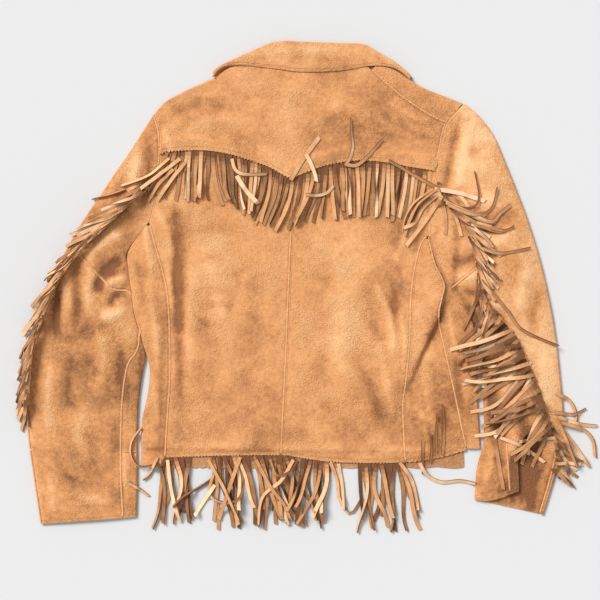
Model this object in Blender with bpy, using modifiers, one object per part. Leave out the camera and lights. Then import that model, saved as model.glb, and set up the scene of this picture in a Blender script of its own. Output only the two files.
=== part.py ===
"""A fringed buckskin jacket, laid flat with its back up.

Its panels, collar, sleeves and fringes are leather walls.

The frame is the laid garment's own: +Y runs towards the collar, +X towards the wearer's right sleeve, and
the floor is z = 0. Tables and sizes are in millimetres, and MM turns them into metres.
"""

import bisect
import functools
import math
from collections import namedtuple

import bmesh
import bpy

MM = 0.001

# Driving dimensions
LEATHER = 1.8  # wall of a panel
COLLAR_WALL = 2.0
FRINGE_WALL = 1.8  # a layer of strands, as a plain band
LOOSE_FRINGE_WALL = 3.0  # tangled strands, as a plain band
SEAM = 0.4  # half of the opening between two panels along a seam
REST = 0.4  # between two walls that lie on each other
LAID = 6.2  # front and back on each other, outside to outside
UNDERLAP = 12.0  # how far the back goes up under the yoke
NECK_LIFT = 2.2  # the fronts lie on the collar's wings at the neck
FRONT_HEM = -252.0
PLEAT_RISE = 8.0  # the rolled fold at the right side
PLEAT_SPREAD = 38.0
PLEAT_DROP = 7.0
SIDE_UNDER = 24.0  # how far a side panel turns under
UNDER_LEAST = 4.6
UNDER_FADE = 80.0  # below the armpit
COLLAR_ROLL = 3.4
COLLAR_FLOOR = 4.4
ROLL_SHARE = 0.12  # the part of a sleeve's ring that each folded edge takes
ROLL_WIDTH = 0.025  # and the part of its laid width
ARMHOLE_REACH = 3.0  # stations over which a sleeve loses the armhole's curve
FINE = 8  # places between two named ones, where a line is read
GAP_TURN = 0.006  # half of the opening of a seam along a sleeve, round its ring
GAP_STATION = 0.02  # and of one across it
GAP_ARMHOLE = 0.04
LEFT_ARMPIT = 117.0  # where the armholes meet the body's sides
RIGHT_ARMPIT = 97.5
RIGHT_EDGE_TOP = 97.0
FRONT_ARMPIT_LEFT = 124.0
FRONT_ARMPIT_RIGHT = 104.0
YOKE_CORNER = 266.0  # the yoke's right end, at the shoulder seam
SIDE_LEFT_TOP, SIDE_LEFT_HEM = 112.0, -249.0
SIDE_RIGHT_TOP, SIDE_RIGHT_HEM = 90.0, -223.0
SIDE_BACK_TOP = 92.0
HEM_ROOT = -226.0
FLOOR_FRINGE = 1.9  # the top of strands that lie on the floor

# Seams and outlines. Each is a run of places along the garment.
Place = namedtuple("Place", "x y")

ARMHOLE_LEFT = (
    Place(-220.5, 277.5), Place(-213.5, 254), Place(-211.5, 226), Place(-213.5, 200),
    Place(-217.5, 172), Place(-222, 143), Place(-228, 117),
)
ARMHOLE_RIGHT = (
    Place(246, 295.5), Place(228, 279), Place(217, 262), Place(211, 236),
    Place(205, 205), Place(199, 170), Place(196, 134), Place(195, 97.5),
)
EDGE_LEFT = (
    Place(-228, 117), Place(-248, 89), Place(-258, 68), Place(-257.5, 45), Place(-253, 12),
    Place(-249, -17), Place(-240, -48), Place(-230.5, -82), Place(-226, -106),
    Place(-228, -135), Place(-233, -160), Place(-238, -185), Place(-239, -252),
)
PRINCESS_LEFT = (
    Place(-227, 117), Place(-217.5, 82), Place(-207, 45), Place(-199, 5), Place(-196, -50),
    Place(-195.5, -115), Place(-200, -185), Place(-204, -252),
)
CENTRE_BACK = (
    Place(-12, 215), Place(-13.5, 112), Place(-18, 0), Place(-21, -75), Place(-29, -240),
)
PRINCESS_RIGHT = (
    Place(194.4, 97.5), Place(182, 85), Place(172, 45), Place(166.5, 0), Place(165, -55),
    Place(159.5, -120), Place(155, -152), Place(156, -200), Place(159, -248),
)
PLEAT = (
    Place(196, 92), Place(206, 60), Place(219, 20), Place(219, 0), Place(205, -30),
    Place(180, -82), Place(163, -126), Place(152, -150),
)
SIDE_SEAM = (
    Place(193, 97.5), Place(194.5, 88), Place(202.5, 54), Place(216, 24), Place(213, 4),
    Place(208, -28), Place(218, -75), Place(229.5, -126), Place(244, -195), Place(252, -230),
)
EDGE_RIGHT = (
    Place(198.5, 97.5), Place(200, 88), Place(208, 54), Place(226, 18), Place(238, -4),
    Place(253, -26), Place(258.5, -40), Place(262.5, -67), Place(265.5, -120),
    Place(268, -165), Place(272, -240),
)
CENTRE_FRONT = (Place(5, 260), Place(-12, 0), Place(-28, -260))

# Upper and lower outlines, from left to right.
BACK_HEM = (
    Place(-212, -237), Place(-120, -234), Place(-28, -233), Place(0, -237), Place(60, -244),
    Place(158, -244), Place(210, -237), Place(249, -226), Place(274, -222),
)
YOKE_EDGE = (
    Place(-214, 219), Place(-187, 223.5), Place(-150, 225), Place(-112, 220.5), Place(-75, 210),
    Place(-45, 199), Place(-22, 186), Place(-12, 183), Place(0, 188), Place(30, 199.5),
    Place(60, 206.5), Place(90, 209.5), Place(127, 207), Place(165, 200), Place(206, 194),
)
YOKE_TOP = (
    Place(-220.5, 277), Place(-210, 291), Place(-195, 303), Place(-159, 321), Place(-130, 333),
    Place(-120, 340), Place(-106, 349), Place(-80, 358), Place(-50, 364), Place(0, 365),
    Place(60, 363), Place(92, 356), Place(106, 347), Place(150, 307.5), Place(195, 277.5),
    Place(219, 266),
)
FRONT_TOP_LEFT = (
    Place(-220.5, 276.5), Place(-210, 290), Place(-195, 302), Place(-159, 320), Place(-130, 332),
    Place(-108, 322), Place(-75, 287), Place(-40, 258), Place(5, 248),
)
FRONT_TOP_RIGHT = (
    Place(5, 248), Place(50, 260), Place(95, 290), Place(132, 326), Place(152, 335.5),
    Place(165, 329.5), Place(187, 316.5), Place(217, 305), Place(246, 294.5),
)
FRINGE_TIPS = (
    Place(-190, 142), Place(-144, 139), Place(-88, 125), Place(-48, 110), Place(0, 116),
    Place(57, 131), Place(126, 129), Place(152, 121), Place(190, 100),
)

# Pieces that run from one line to another: a row for each section.
Across = namedtuple("Across", "from_x from_y to_x to_y")

SHOULDER_RIGHT = [
    Across(108, 346, 116, 353.5), Across(130, 325.5, 140, 347), Across(152, 306.5, 163, 332),
    Across(174, 291.5, 187.5, 318), Across(197, 277, 217.5, 306), Across(219.5, 266.5, 245.5, 295),
]
COLLAR = [
    Across(-130, 334, -131.5, 342), Across(-121.5, 345, -123, 350), Across(-108, 351, -106.5, 359),
    Across(-85.5, 352.5, -79.5, 371), Across(-60, 350, -48, 385), Across(-30, 346.5, -22.5, 389.3),
    Across(0, 343, 4.5, 388), Across(45, 343.5, 45, 386.5), Across(78, 347, 78, 385.5),
    Across(105, 351.5, 99, 383.3), Across(132, 350.5, 121.5, 370.5), Across(150, 343.5, 145, 356.5),
    Across(164.5, 331.5, 165.5, 339),
]
COLLAR_STAND = [2, 2, 4, 9, 17, 22, 22, 22, 22, 20, 11, 5, 2]  # under each section of the collar
WING_LEFT = [
    Across(-118, 338, -126, 331), Across(-95, 314, -130, 286), Across(-62, 280, -105, 238),
    Across(-22, 253, -62, 205),
]
WING_RIGHT = [
    Across(148, 342, 157, 333), Across(120, 318, 155, 288), Across(76, 280, 122, 240),
    Across(28, 253, 74, 205),
]

# A sleeve: a row for each station from the armhole to the cuff. The seams are shares of the laid
# width, from the outer fold (0) over the upper side to the inner fold (1) and on round underneath.
Station = namedtuple("Station", "outer_x outer_y inner_x inner_y crown fold hind_seam fore_seam vent")

SLEEVE_LEFT = [
    Station(-221, 277.5, -228.6, 117, 6.4, 3.1, 0.58, 1.00, 0.58),
    Station(-240, 247.5, -241, 102, 8.5, 3.2, 0.60, 1.00, 0.60),
    Station(-259.5, 217.5, -252.5, 86, 10.5, 3.2, 0.55, 1.00, 0.55),
    Station(-280.5, 187.5, -263, 68, 12.0, 3.3, 0.48, 1.00, 0.48),
    Station(-300, 157.5, -260.5, 46, 13.0, 3.4, 0.37, 1.01, 0.37),
    Station(-321, 127.5, -255.5, 13, 13.5, 3.5, 0.24, 1.02, 0.24),
    Station(-347, 84, -251.5, -18, 13.5, 3.6, 0.13, 1.02, 0.13),
    Station(-367.5, 42, -243, -49, 13.0, 3.6, 0.07, 0.99, 0.07),
    Station(-384.5, -4.5, -233, -84, 12.5, 3.6, 0.04, 0.91, 0.04),
    Station(-396, -42, -235.5, -103, 12.0, 3.6, 0.03, 0.86, 0.03),
    Station(-405, -82.5, -239, -124, 12.0, 3.6, 0.02, 0.85, 0.02),
    Station(-410, -135, -242.5, -154, 11.5, 3.5, 0.02, 0.85, 0.02),
    Station(-409.5, -198, -245, -204, 11.0, 3.4, 0.02, 0.85, 0.02),
    Station(-400.5, -267, -244.5, -265, 10.0, 3.4, 0.02, 0.84, 0.02),
    Station(-390, -337, -246, -326, 9.0, 3.4, 0.02, 0.86, 0.02),
]
SLEEVE_RIGHT = [
    Station(246.6, 295.5, 195.6, 97.5, 6.4, 3.1, 0.64, 1.15, 0.64),
    Station(268.5, 277.5, 201, 87, 9.0, 3.3, 0.68, 1.15, 0.68),
    Station(291, 247.5, 206, 70, 12.0, 3.6, 0.66, 1.15, 0.66),
    Station(310.5, 202.5, 211.5, 54, 14.5, 4.0, 0.62, 1.15, 0.62),
    Station(328.5, 157.5, 220, 37, 16.0, 4.2, 0.62, 1.15, 0.62),
    Station(345, 112.5, 231, 18, 17.0, 4.4, 0.68, 1.15, 0.68),
    Station(363, 52.5, 243, -5, 17.0, 4.4, 0.76, 1.15, 0.76),
    Station(376.5, -7.5, 258, -25, 16.5, 4.4, 0.68, 1.15, 0.68),
    Station(384, -52.5, 280, -56, 15.5, 4.2, 0.58, 1.15, 0.58),
    Station(390, -105, 275, -102, 15.0, 4.0, 0.38, 1.15, 0.38),
    Station(396, -172.5, 276, -162, 14.0, 4.0, 0.21, 1.15, 0.23),
    Station(394.5, -217.5, 276, -212, 13.0, 3.8, 0.08, 1.15, 0.53),
    Station(384, -262.5, 266, -254, 12.0, 3.6, 0.05, 1.15, 0.47),
    Station(366, -322.5, 262.5, -300, 11.0, 3.4, 0.05, 1.15, 0.34),
]
ELBOW_LEFT = 6.0
ELBOW_LEFT_RISE = 0.8  # stations that the elbow seam climbs at the inner fold
ELBOW_RIGHT = 5.0
PIECING_LEFT = 12.4
PIECING_RIGHT = 10.0
CUFF_SHORT = 0.6  # stations that the right under sleeve's cuff falls short at its vent

HemClump = namedtuple("HemClump", "name left right spread tips")
HEM_CLUMPS = [
    HemClump("hem_fringe_left", -210, -160, 0, -338),
    HemClump("hem_fringe_mid_left", -140, -76, -4, -342),
    HemClump("hem_fringe_centre", -68, -4, 4, -346),
    HemClump("hem_fringe_mid_right", 3, 44, 4, -346),
    HemClump("hem_fringe_right", 76, 162, 6, -344),
]

Colour = namedtuple("Colour", "red green blue")
BUCKSKIN = Colour(0.56, 0.29, 0.125)
BUCKSKIN_DARK = Colour(0.44, 0.22, 0.095)
FRINGE_SKIN = Colour(0.62, 0.35, 0.17)


def hermite(before, start, end, after, share):
    """A smooth value between start and end."""
    slope_in = (end - before) / 2
    slope_out = (after - start) / 2
    square, cube = share**2, share**3
    return (
        (2 * cube - 3 * square + 1) * start
        + (cube - 2 * square + share) * slope_in
        + (3 * square - 2 * cube) * end
        + (cube - square) * slope_out
    )


def along(rows, at):
    """The row at a place between the rows, counted from 0."""
    at = min(max(at, 0), len(rows) - 1)
    first = min(int(at), len(rows) - 2)
    near = [rows[min(max(first + step, 0), len(rows) - 1)] for step in (-1, 0, 1, 2)]
    return type(rows[0])(*(hermite(*column, at - first) for column in zip(*near)))


@functools.cache
def traced(line, key):
    """The smooth curve through a line's places, as closely spaced places in order of x or y."""
    count = FINE * (len(line) - 1)
    places = (along(line, step / FINE) for step in range(count + 1))
    return sorted(places, key=lambda place: getattr(place, key))


def read(line, key, value, at):
    """One coordinate of a line where its other coordinate is `at`."""
    places = traced(line, key)
    keys = [getattr(place, key) for place in places]
    values = [getattr(place, value) for place in places]
    if at <= keys[0]:
        return values[0]
    high = bisect.bisect_left(keys, at)
    if high == len(keys):
        return values[-1]
    share = (at - keys[high - 1]) / max(keys[high] - keys[high - 1], 1e-6)
    return mix(values[high - 1], values[high], share)


def x_of(line, y):
    return read(line, "y", "x", y)


def y_of(line, x):
    return read(line, "x", "y", x)


def ease(share):
    """0 to 1, level at both ends."""
    share = min(max(share, 0), 1)
    return share * share * (3 - 2 * share)


def steps(count):
    return [index / (count - 1) for index in range(count)]


def mix(start, end, share):
    return start + (end - start) * share


def material(name, colour):
    made = bpy.data.materials.new(name)
    made.use_nodes = True
    shader = made.node_tree.nodes["Principled BSDF"]
    shader.inputs["Base Color"].default_value = (*colour, 1)
    shader.inputs["Roughness"].default_value = 0.85
    shader.inputs["Metallic"].default_value = 0
    return made


def wall(name, rows, colour=BUCKSKIN, thickness=LEATHER):
    """A leather wall whose outer face runs through rows of points, its highest face looking up."""
    width = len(rows[0])
    points = [(x * MM, y * MM, z * MM) for row in rows for x, y, z in row]
    faces = [
        (low + column, low + width + column, low + width + column + 1, low + column + 1)
        for low in range(0, width * (len(rows) - 1), width)
        for column in range(width - 1)
    ]
    mesh = bpy.data.meshes.new(name)
    mesh.from_pydata(points, [], faces)
    highest = max(mesh.polygons, key=lambda face: face.center.z + 0.001 * abs(face.normal.z))
    if highest.normal.z < 0:
        mesh.flip_normals()
    mesh.shade_smooth()
    made = bpy.data.objects.new(name, mesh)
    made.data.materials.append(material(name, colour))
    shell = made.modifiers.new("Wall", "SOLIDIFY")
    shell.thickness = thickness * MM
    shell.offset = -1
    shell.use_even_offset = True
    jacket.objects.link(made)
    return made


def loft(name, outer, inner, colour=BUCKSKIN):
    """A wall between two lofted faces, where both follow a tight fold."""
    width, count = len(outer[0]), len(outer)
    points = [
        (x * MM, y * MM, z * MM) for rows in (outer, inner) for row in rows for x, y, z in row
    ]
    behind = width * count
    faces = []
    for row in range(count - 1):
        for column in range(width - 1):
            first = row * width + column
            face = (first, first + width, first + width + 1, first + 1)
            faces += [face, tuple(behind + corner for corner in reversed(face))]
    rim = list(range(width)) + [row * width + width - 1 for row in range(1, count)]
    rim += list(range(behind - 2, behind - width - 1, -1)) + [row * width for row in range(count - 2, 0, -1)]
    for start, stop in zip(rim, rim[1:] + rim[:1]):
        faces.append((start, stop, behind + stop, behind + start))
    mesh = bpy.data.meshes.new(name)
    mesh.from_pydata(points, [], faces)
    shape = bmesh.new()
    shape.from_mesh(mesh)
    bmesh.ops.recalc_face_normals(shape, faces=shape.faces)
    shape.to_mesh(mesh)
    shape.free()
    made = bpy.data.objects.new(name, mesh)
    mesh.materials.append(material(name, colour))
    jacket.objects.link(made)
    return made


# Heights of the laid body


def pleat_height(x, y):
    """The rolled fold at the right: it rises slowly from the left and drops off at its edge."""
    side = x - x_of(PLEAT, y)
    if side < 0:
        shape = math.exp(-((side / PLEAT_SPREAD) ** 2))
    else:
        shape = 1 - ease(side / PLEAT_DROP)
    return PLEAT_RISE * shape * ease((y + 155) / 90) * ease((90 - y) / 60)


def back_height(x, y):
    return LAID + pleat_height(x, y)


def neck_lift(x, y):
    """How far the fronts are lifted by the collar's wings."""
    return NECK_LIFT * ease((y - 165) / 40) * ease((175 - abs(x - 14)) / 35)


def front_height(x, y):
    return LEATHER + neck_lift(x, y)


def rounded(depth, radius):
    """How far a rounded edge has risen at a depth in from it."""
    depth = min(max(depth, 0), radius)
    return math.sqrt(radius**2 - (radius - depth) ** 2)


def shoulder_height(x, y, depth):
    """A panel that rounds down over the shoulder at the edge that depth is measured from."""
    foot = front_height(x, y) + 2 * REST
    return foot + (back_height(x, y) - foot) * rounded(depth, LAID / 2) / (LAID / 2)


def yoke_height(x, y):
    """The yoke lies on the back panels and the fringe along its edge, and rounds over the left shoulder."""
    over = 2 * REST + FRINGE_WALL + LEATHER
    lap = 1 - ease((y - y_of(YOKE_EDGE, x) - UNDERLAP - 2) / 12)
    height = back_height(x, y) + over * lap
    if x < -130:
        height = min(height, shoulder_height(x, y, y_of(YOKE_TOP, x) - y) + over * lap)
    return height


# Body panels


def between(lower, upper, left, right, height, shares, levels):
    """Rows of points between two seams and two outlines, the top row first."""
    rows = []
    for level in reversed(levels):
        row = []
        for share in shares:
            x = mix(left(0), right(0), share)
            for _ in range(4):
                y = mix(lower(x), upper(x), level)
                x = mix(left(y) + SEAM, right(y) - SEAM, share)
            row.append((x, y, height(x, y)))
        rows.append(row)
    return rows


def back_top(x):
    return y_of(YOKE_EDGE, x) + UNDERLAP


def left_of_back(y):
    return x_of(ARMHOLE_LEFT, y) if y > LEFT_ARMPIT else x_of(PRINCESS_LEFT, y)


def right_of_back(y):
    return x_of(ARMHOLE_RIGHT, y) if y > RIGHT_ARMPIT else x_of(PRINCESS_RIGHT, y)


def centre_back(y):
    return x_of(CENTRE_BACK, y)


def back_hem(x):
    return y_of(BACK_HEM, x)


def make_back():
    levels = steps(24)
    edges = back_hem, back_top, left_of_back, centre_back
    wall("back_centre_left", between(*edges, back_height, steps(7), levels))
    edges = back_hem, back_top, centre_back, right_of_back
    wall("back_centre_right", between(*edges, back_height, steps(8), levels))
    rows = between(
        back_hem, lambda x: SIDE_BACK_TOP, lambda y: x_of(PRINCESS_RIGHT, y),
        lambda y: x_of(SIDE_SEAM, y), back_height, steps(11), levels,
    )
    wall("back_side_right", rows)


def make_yoke():
    levels = [0, 0.06, 0.12, 0.2, 0.3, 0.42, 0.56, 0.7, 0.84, 0.93, 0.975, 0.992, 1]
    rows = between(
        lambda x: y_of(YOKE_EDGE, x), lambda x: y_of(YOKE_TOP, x),
        lambda y: x_of(ARMHOLE_LEFT, y), lambda y: x_of(ARMHOLE_RIGHT, min(y, YOKE_CORNER)),
        yoke_height, steps(21), levels,
    )
    wall("back_yoke", rows)


def make_shoulder():
    rows = []
    for share in (1, 0.98, 0.94, 0.87, 0.6, 0.3, 0.01):
        row = []
        for at in steps(9):
            line = along(SHOULDER_RIGHT, at * (len(SHOULDER_RIGHT) - 1))
            x, y = mix(line.from_x, line.to_x, share), mix(line.from_y, line.to_y, share)
            x = min(x, x_of(ARMHOLE_RIGHT, y) - 2 * SEAM)
            length = math.dist((line.from_x, line.from_y), (line.to_x, line.to_y))
            row.append((x, y + SEAM, shoulder_height(x, y, (1 - share) * length)))
        rows.append(row)
    wall("front_shoulder_right", rows)


def turned_under(below_armpit):
    return max(SIDE_UNDER * ease(below_armpit / UNDER_FADE), UNDER_LEAST)


def turned_edge(seam_x, edge_x, under, y, height, side):
    """A section over the upper side from a seam, round the folded edge and under. side is -1 at the left."""
    edge = edge_x - side * SEAM
    top = height(edge_x, y)
    radius = top / 2
    start = seam_x + side * SEAM
    centre = edge - side * radius
    section = []
    for share in steps(4)[:-1]:
        x = mix(start, centre, share)
        section.append((x, y, height(x, y)))
    for turn in steps(6):
        angle = math.pi * (0.5 - turn)
        section.append((centre + side * radius * math.cos(angle), y, radius + radius * math.sin(angle)))
    section.append((centre - side * (under - radius), y, 0))
    return section


def make_sides():
    rows = []
    for level in steps(18):
        y = mix(SIDE_LEFT_TOP, SIDE_LEFT_HEM, level)
        under = turned_under(LEFT_ARMPIT - y)
        ends = x_of(PRINCESS_LEFT, y), x_of(EDGE_LEFT, y)
        rows.append(turned_edge(*ends, under, y, lambda x, y: LAID, -1))
    wall("back_side_left", rows)
    rows = []
    for level in steps(17):
        y = mix(SIDE_RIGHT_TOP, SIDE_RIGHT_HEM, level)
        under = turned_under(RIGHT_EDGE_TOP - y)
        ends = x_of(SIDE_SEAM, y), x_of(EDGE_RIGHT, y)
        rows.append(turned_edge(*ends, under, y, lambda x, y: LAID, 1))
    wall("front_side_right", rows)


def make_fronts():
    def left(y):
        if y > FRONT_ARMPIT_LEFT:
            return x_of(ARMHOLE_LEFT, y)
        return x_of(EDGE_LEFT, y) + turned_under(LEFT_ARMPIT - y) + 4 * SEAM

    def right(y):
        if y > FRONT_ARMPIT_RIGHT:
            return x_of(ARMHOLE_RIGHT, y)
        return x_of(EDGE_RIGHT, y) - turned_under(RIGHT_EDGE_TOP - y) - 3 * SEAM

    def centre(y):
        return x_of(CENTRE_FRONT, y)

    levels = steps(36)
    for name, top, sides, columns in (
        ("front_left", FRONT_TOP_LEFT, (left, centre), 8),
        ("front_right", FRONT_TOP_RIGHT, (centre, right), 9),
    ):
        rows = between(
            lambda x: FRONT_HEM, lambda x, top=top: y_of(top, x), *sides, front_height, steps(columns), levels,
        )
        wall(name, rows, BUCKSKIN_DARK)


def make_edge_strip():
    rows = []
    for y in (-34, -46, -58, -70, -82):
        edge = x_of(EDGE_RIGHT, y) + SEAM
        rows.append([(edge + reach, y, LEATHER) for reach in (0, 3, 6)])
    wall("front_edge_strip_right", rows, FRINGE_SKIN)


# Collar


def make_collar():
    rows = []
    for at in steps(19):
        place = at * (len(COLLAR) - 1)
        line = along(COLLAR, place)
        low = int(min(place, len(COLLAR) - 2))
        stand = mix(COLLAR_STAND[low], COLLAR_STAND[low + 1], place - low)
        length = math.dist((line.from_x, line.from_y), (line.to_x, line.to_y))
        top = COLLAR_FLOOR + 2 * COLLAR_ROLL

        def place_at(back, height):
            """A point so far back from the roll, towards the free edge."""
            share = back / length
            return (mix(line.to_x, line.from_x, share), mix(line.to_y, line.from_y, share), height)

        roll = min(COLLAR_ROLL, length * 0.45)
        section = [place_at(length, top - 1.6), place_at(mix(roll, length, 0.6), top + 0.8)]
        for turn in steps(7):
            angle = math.pi * (0.5 - turn)
            height = COLLAR_FLOOR + COLLAR_ROLL * (1 + math.sin(angle))
            section.append(place_at(roll * (1 - math.cos(angle)), height))
        section.append(place_at(roll + max(stand - roll, 0.4), COLLAR_FLOOR))
        rows.append(section)
    wall("collar", rows, BUCKSKIN, COLLAR_WALL)
    for name, lines in (("collar_wing_left", WING_LEFT), ("collar_wing_right", WING_RIGHT)):
        rows = []
        for share in steps(4):
            row = []
            for at in steps(7):
                line = along(lines, at * (len(lines) - 1))
                x = mix(line.from_x, line.to_x, share)
                row.append((x, mix(line.from_y, line.to_y, share), LEATHER))
            rows.append(row)
        wall(name, rows, BUCKSKIN_DARK)


# Sleeves


def turn_of(width_share):
    """The place round a sleeve's ring for a share of its laid width."""
    full, part = divmod(width_share, 1)
    if part < ROLL_WIDTH:
        return full + ROLL_SHARE * part / ROLL_WIDTH
    if part > 1 - ROLL_WIDTH:
        return full + 1 - ROLL_SHARE * (1 - part) / ROLL_WIDTH
    return full + mix(ROLL_SHARE, 1 - ROLL_SHARE, (part - ROLL_WIDTH) / (1 - 2 * ROLL_WIDTH))


def sleeve_point(stations, armhole, at, turn, lift=0.0):
    """A point on a sleeve: turn 0 is the outer fold, 1 the inner fold and 2 the outer fold again."""
    station = along(stations, at)
    turn = turn % 2
    lower = turn > 1
    part = 2 - turn if lower else turn
    width = math.dist((station.outer_x, station.outer_y), (station.inner_x, station.inner_y))
    fold = station.fold
    if part < ROLL_SHARE or part > 1 - ROLL_SHARE:
        near_outer = part < 0.5
        angle = math.pi / 2 * min(part, 1 - part) / ROLL_SHARE
        depth = fold - (fold + lift) * math.cos(angle)
        rise = (fold + lift) * math.sin(angle)
        reach = depth if near_outer else width - depth
    else:
        middle = (part - ROLL_SHARE) / (1 - 2 * ROLL_SHARE)
        reach = mix(fold, width - fold, middle)
        rise = fold + lift
        if not lower:
            rise += (station.crown - 2 * fold) * math.sin(math.pi * middle) ** 0.8
    share = reach / width
    x = mix(station.outer_x, station.inner_x, share)
    y = mix(station.outer_y, station.inner_y, share)
    if at < ARMHOLE_REACH:
        curve = along(armhole, share * (len(armhole) - 1))
        fade = (1 - at / ARMHOLE_REACH) ** 2
        x += (curve.x - mix(armhole[0].x, armhole[-1].x, share)) * fade
        y += (curve.y - mix(armhole[0].y, armhole[-1].y, share)) * fade
    return x, y, (fold - rise if lower else fold + rise)


def sleeve_panel(name, stations, armhole, ends, seams, count, colour=BUCKSKIN):
    """A panel of a sleeve. ends gives its first and last station at a turn, seams its turns at a station."""
    edges = [ends(turn / 10) for turn in range(25)]
    first, last = max(edge[0] for edge in edges), min(edge[1] for edge in edges)
    between_ends = [half / 2 for half in range(2 * len(stations)) if first + 0.2 < half / 2 < last - 0.2]
    faces = []
    for lift in (0, -LEATHER):
        grid = []
        for level in [first, *between_ends, last]:
            row = []
            for share in steps(count):
                turn = mix(*seams(level), share)
                at = {first: ends(turn)[0], last: ends(turn)[1]}.get(level, level)
                turn = mix(*seams(at), share)
                row.append(sleeve_point(stations, armhole, at, turn, lift))
            grid.append(row)
        faces.append(grid)
    return loft(name, *faces, colour)


def make_left_sleeve():
    def hind(at):
        return turn_of(along(SLEEVE_LEFT, at).hind_seam)

    def fore(at):
        return turn_of(along(SLEEVE_LEFT, at).fore_seam)

    def elbow(turn):
        return ELBOW_LEFT - ELBOW_LEFT_RISE * ease((turn - 0.6) / 0.3)

    def under(at):
        return hind(at) + GAP_TURN, fore(at) - GAP_TURN

    def top(at):
        return fore(at) + GAP_TURN, 2 + hind(at) - GAP_TURN

    last = len(SLEEVE_LEFT) - 1
    sleeve_panel(
        "sleeve_left_under_upper", SLEEVE_LEFT, ARMHOLE_LEFT,
        lambda turn: (GAP_ARMHOLE, elbow(turn) - GAP_STATION), under, 9,
    )
    sleeve_panel(
        "sleeve_left_under_lower", SLEEVE_LEFT, ARMHOLE_LEFT,
        lambda turn: (elbow(turn) + GAP_STATION, last), under, 10,
    )
    sleeve_panel(
        "sleeve_left_top", SLEEVE_LEFT, ARMHOLE_LEFT,
        lambda turn: (GAP_ARMHOLE, PIECING_LEFT - GAP_STATION), top, 14,
    )
    sleeve_panel(
        "sleeve_left_top_cuff", SLEEVE_LEFT, ARMHOLE_LEFT,
        lambda turn: (PIECING_LEFT + GAP_STATION, last), top, 14,
    )


def make_right_sleeve():
    def hind(at):
        return turn_of(along(SLEEVE_RIGHT, at).hind_seam)

    def vent(at):
        station = along(SLEEVE_RIGHT, at)
        return turn_of(max(station.vent, station.hind_seam))

    def fore(at):
        return turn_of(along(SLEEVE_RIGHT, at).fore_seam)

    def under(at):
        return vent(at) + GAP_TURN, fore(at) - GAP_TURN

    def top(at):
        return fore(at) + GAP_TURN, 2 + hind(at) - GAP_TURN

    last = len(SLEEVE_RIGHT) - 1

    def under_end(turn):
        return last - CUFF_SHORT * ease((0.9 - turn) / 0.6)

    sleeve_panel(
        "sleeve_right_under_upper", SLEEVE_RIGHT, ARMHOLE_RIGHT,
        lambda turn: (GAP_ARMHOLE, ELBOW_RIGHT - GAP_STATION), under, 9,
    )
    sleeve_panel(
        "sleeve_right_under_lower", SLEEVE_RIGHT, ARMHOLE_RIGHT,
        lambda turn: (ELBOW_RIGHT + GAP_STATION, under_end(turn)), under, 12,
    )
    sleeve_panel(
        "sleeve_right_top", SLEEVE_RIGHT, ARMHOLE_RIGHT,
        lambda turn: (GAP_ARMHOLE, PIECING_RIGHT - GAP_STATION), top, 14,
    )
    sleeve_panel(
        "sleeve_right_top_cuff", SLEEVE_RIGHT, ARMHOLE_RIGHT,
        lambda turn: (PIECING_RIGHT + GAP_STATION, last), top, 14,
    )


# Fringes, each as a plain band of its reach


def make_yoke_fringe():
    lift = REST + FRINGE_WALL
    rows = between(
        lambda x: y_of(FRINGE_TIPS, x), lambda x: y_of(YOKE_EDGE, x) + UNDERLAP - 3,
        lambda y: -196, lambda y: 188, lambda x, y: back_height(x, y) + lift, steps(17), steps(5),
    )
    wall("yoke_fringe", rows, FRINGE_SKIN, FRINGE_WALL)




def make_hem_fringe():
    for clump in HEM_CLUMPS:
        rows = []
        for y in (HEM_ROOT, -240, FRONT_HEM - 3, FRONT_HEM - 18, -300, clump.tips):
            fall = ease((FRONT_HEM - 3 - y) / 18)
            spread = clump.spread * (HEM_ROOT - y) / 100
            height = mix(LEATHER + REST + FRINGE_WALL, FLOOR_FRINGE, fall)
            rows.append([(mix(clump.left, clump.right, share) + spread, y, height) for share in steps(4)])
        wall(clump.name, rows, FRINGE_SKIN, FRINGE_WALL)


def halves(first, last):
    """The stations of a band: its ends and each half station between them."""
    return [first, *(half / 2 for half in range(30) if first + 0.2 < half / 2 < last - 0.2), last]


def sleeve_band(name, stations, armhole, first, last, turns):
    """A band of strands on a sleeve, between two turns at each station."""
    faces = []
    for lift in (3 * REST + LOOSE_FRINGE_WALL, 3 * REST):
        rows = []
        for at in halves(first, last):
            ends = turns(at)
            rows.append([
                sleeve_point(stations, armhole, at, mix(*ends, share), lift) for share in steps(5)
            ])
        faces.append(rows)
    loft(name, *faces, FRINGE_SKIN)


def edge_band(name, stations, armhole, first, last, turn, reach):
    """A band that leaves a sleeve at its outer fold and lies out over the floor."""
    faces = []
    for lift in (REST + LOOSE_FRINGE_WALL, REST):
        rows = []
        for at in halves(first, last):
            station = along(stations, at)
            length = math.dist((station.outer_x, station.outer_y), (station.inner_x, station.inner_y))
            out_x = (station.outer_x - station.inner_x) / length
            out_y = (station.outer_y - station.inner_y) / length
            far = reach * math.sin(math.pi * mix(0.2, 0.8, (at - first) / (last - first)))
            row = [sleeve_point(stations, armhole, at, turn * share, lift) for share in (1, 0.66, 0.33)]
            x, y, _ = sleeve_point(stations, armhole, at, 0, 0)
            for share in (0.2, 0.6, 1):
                row.append((x + out_x * far * share, y + out_y * far * share, lift + 0.4 - 0.3 * share))
            rows.append(row)
        faces.append(rows)
    loft(name, *faces, FRINGE_SKIN)


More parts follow.
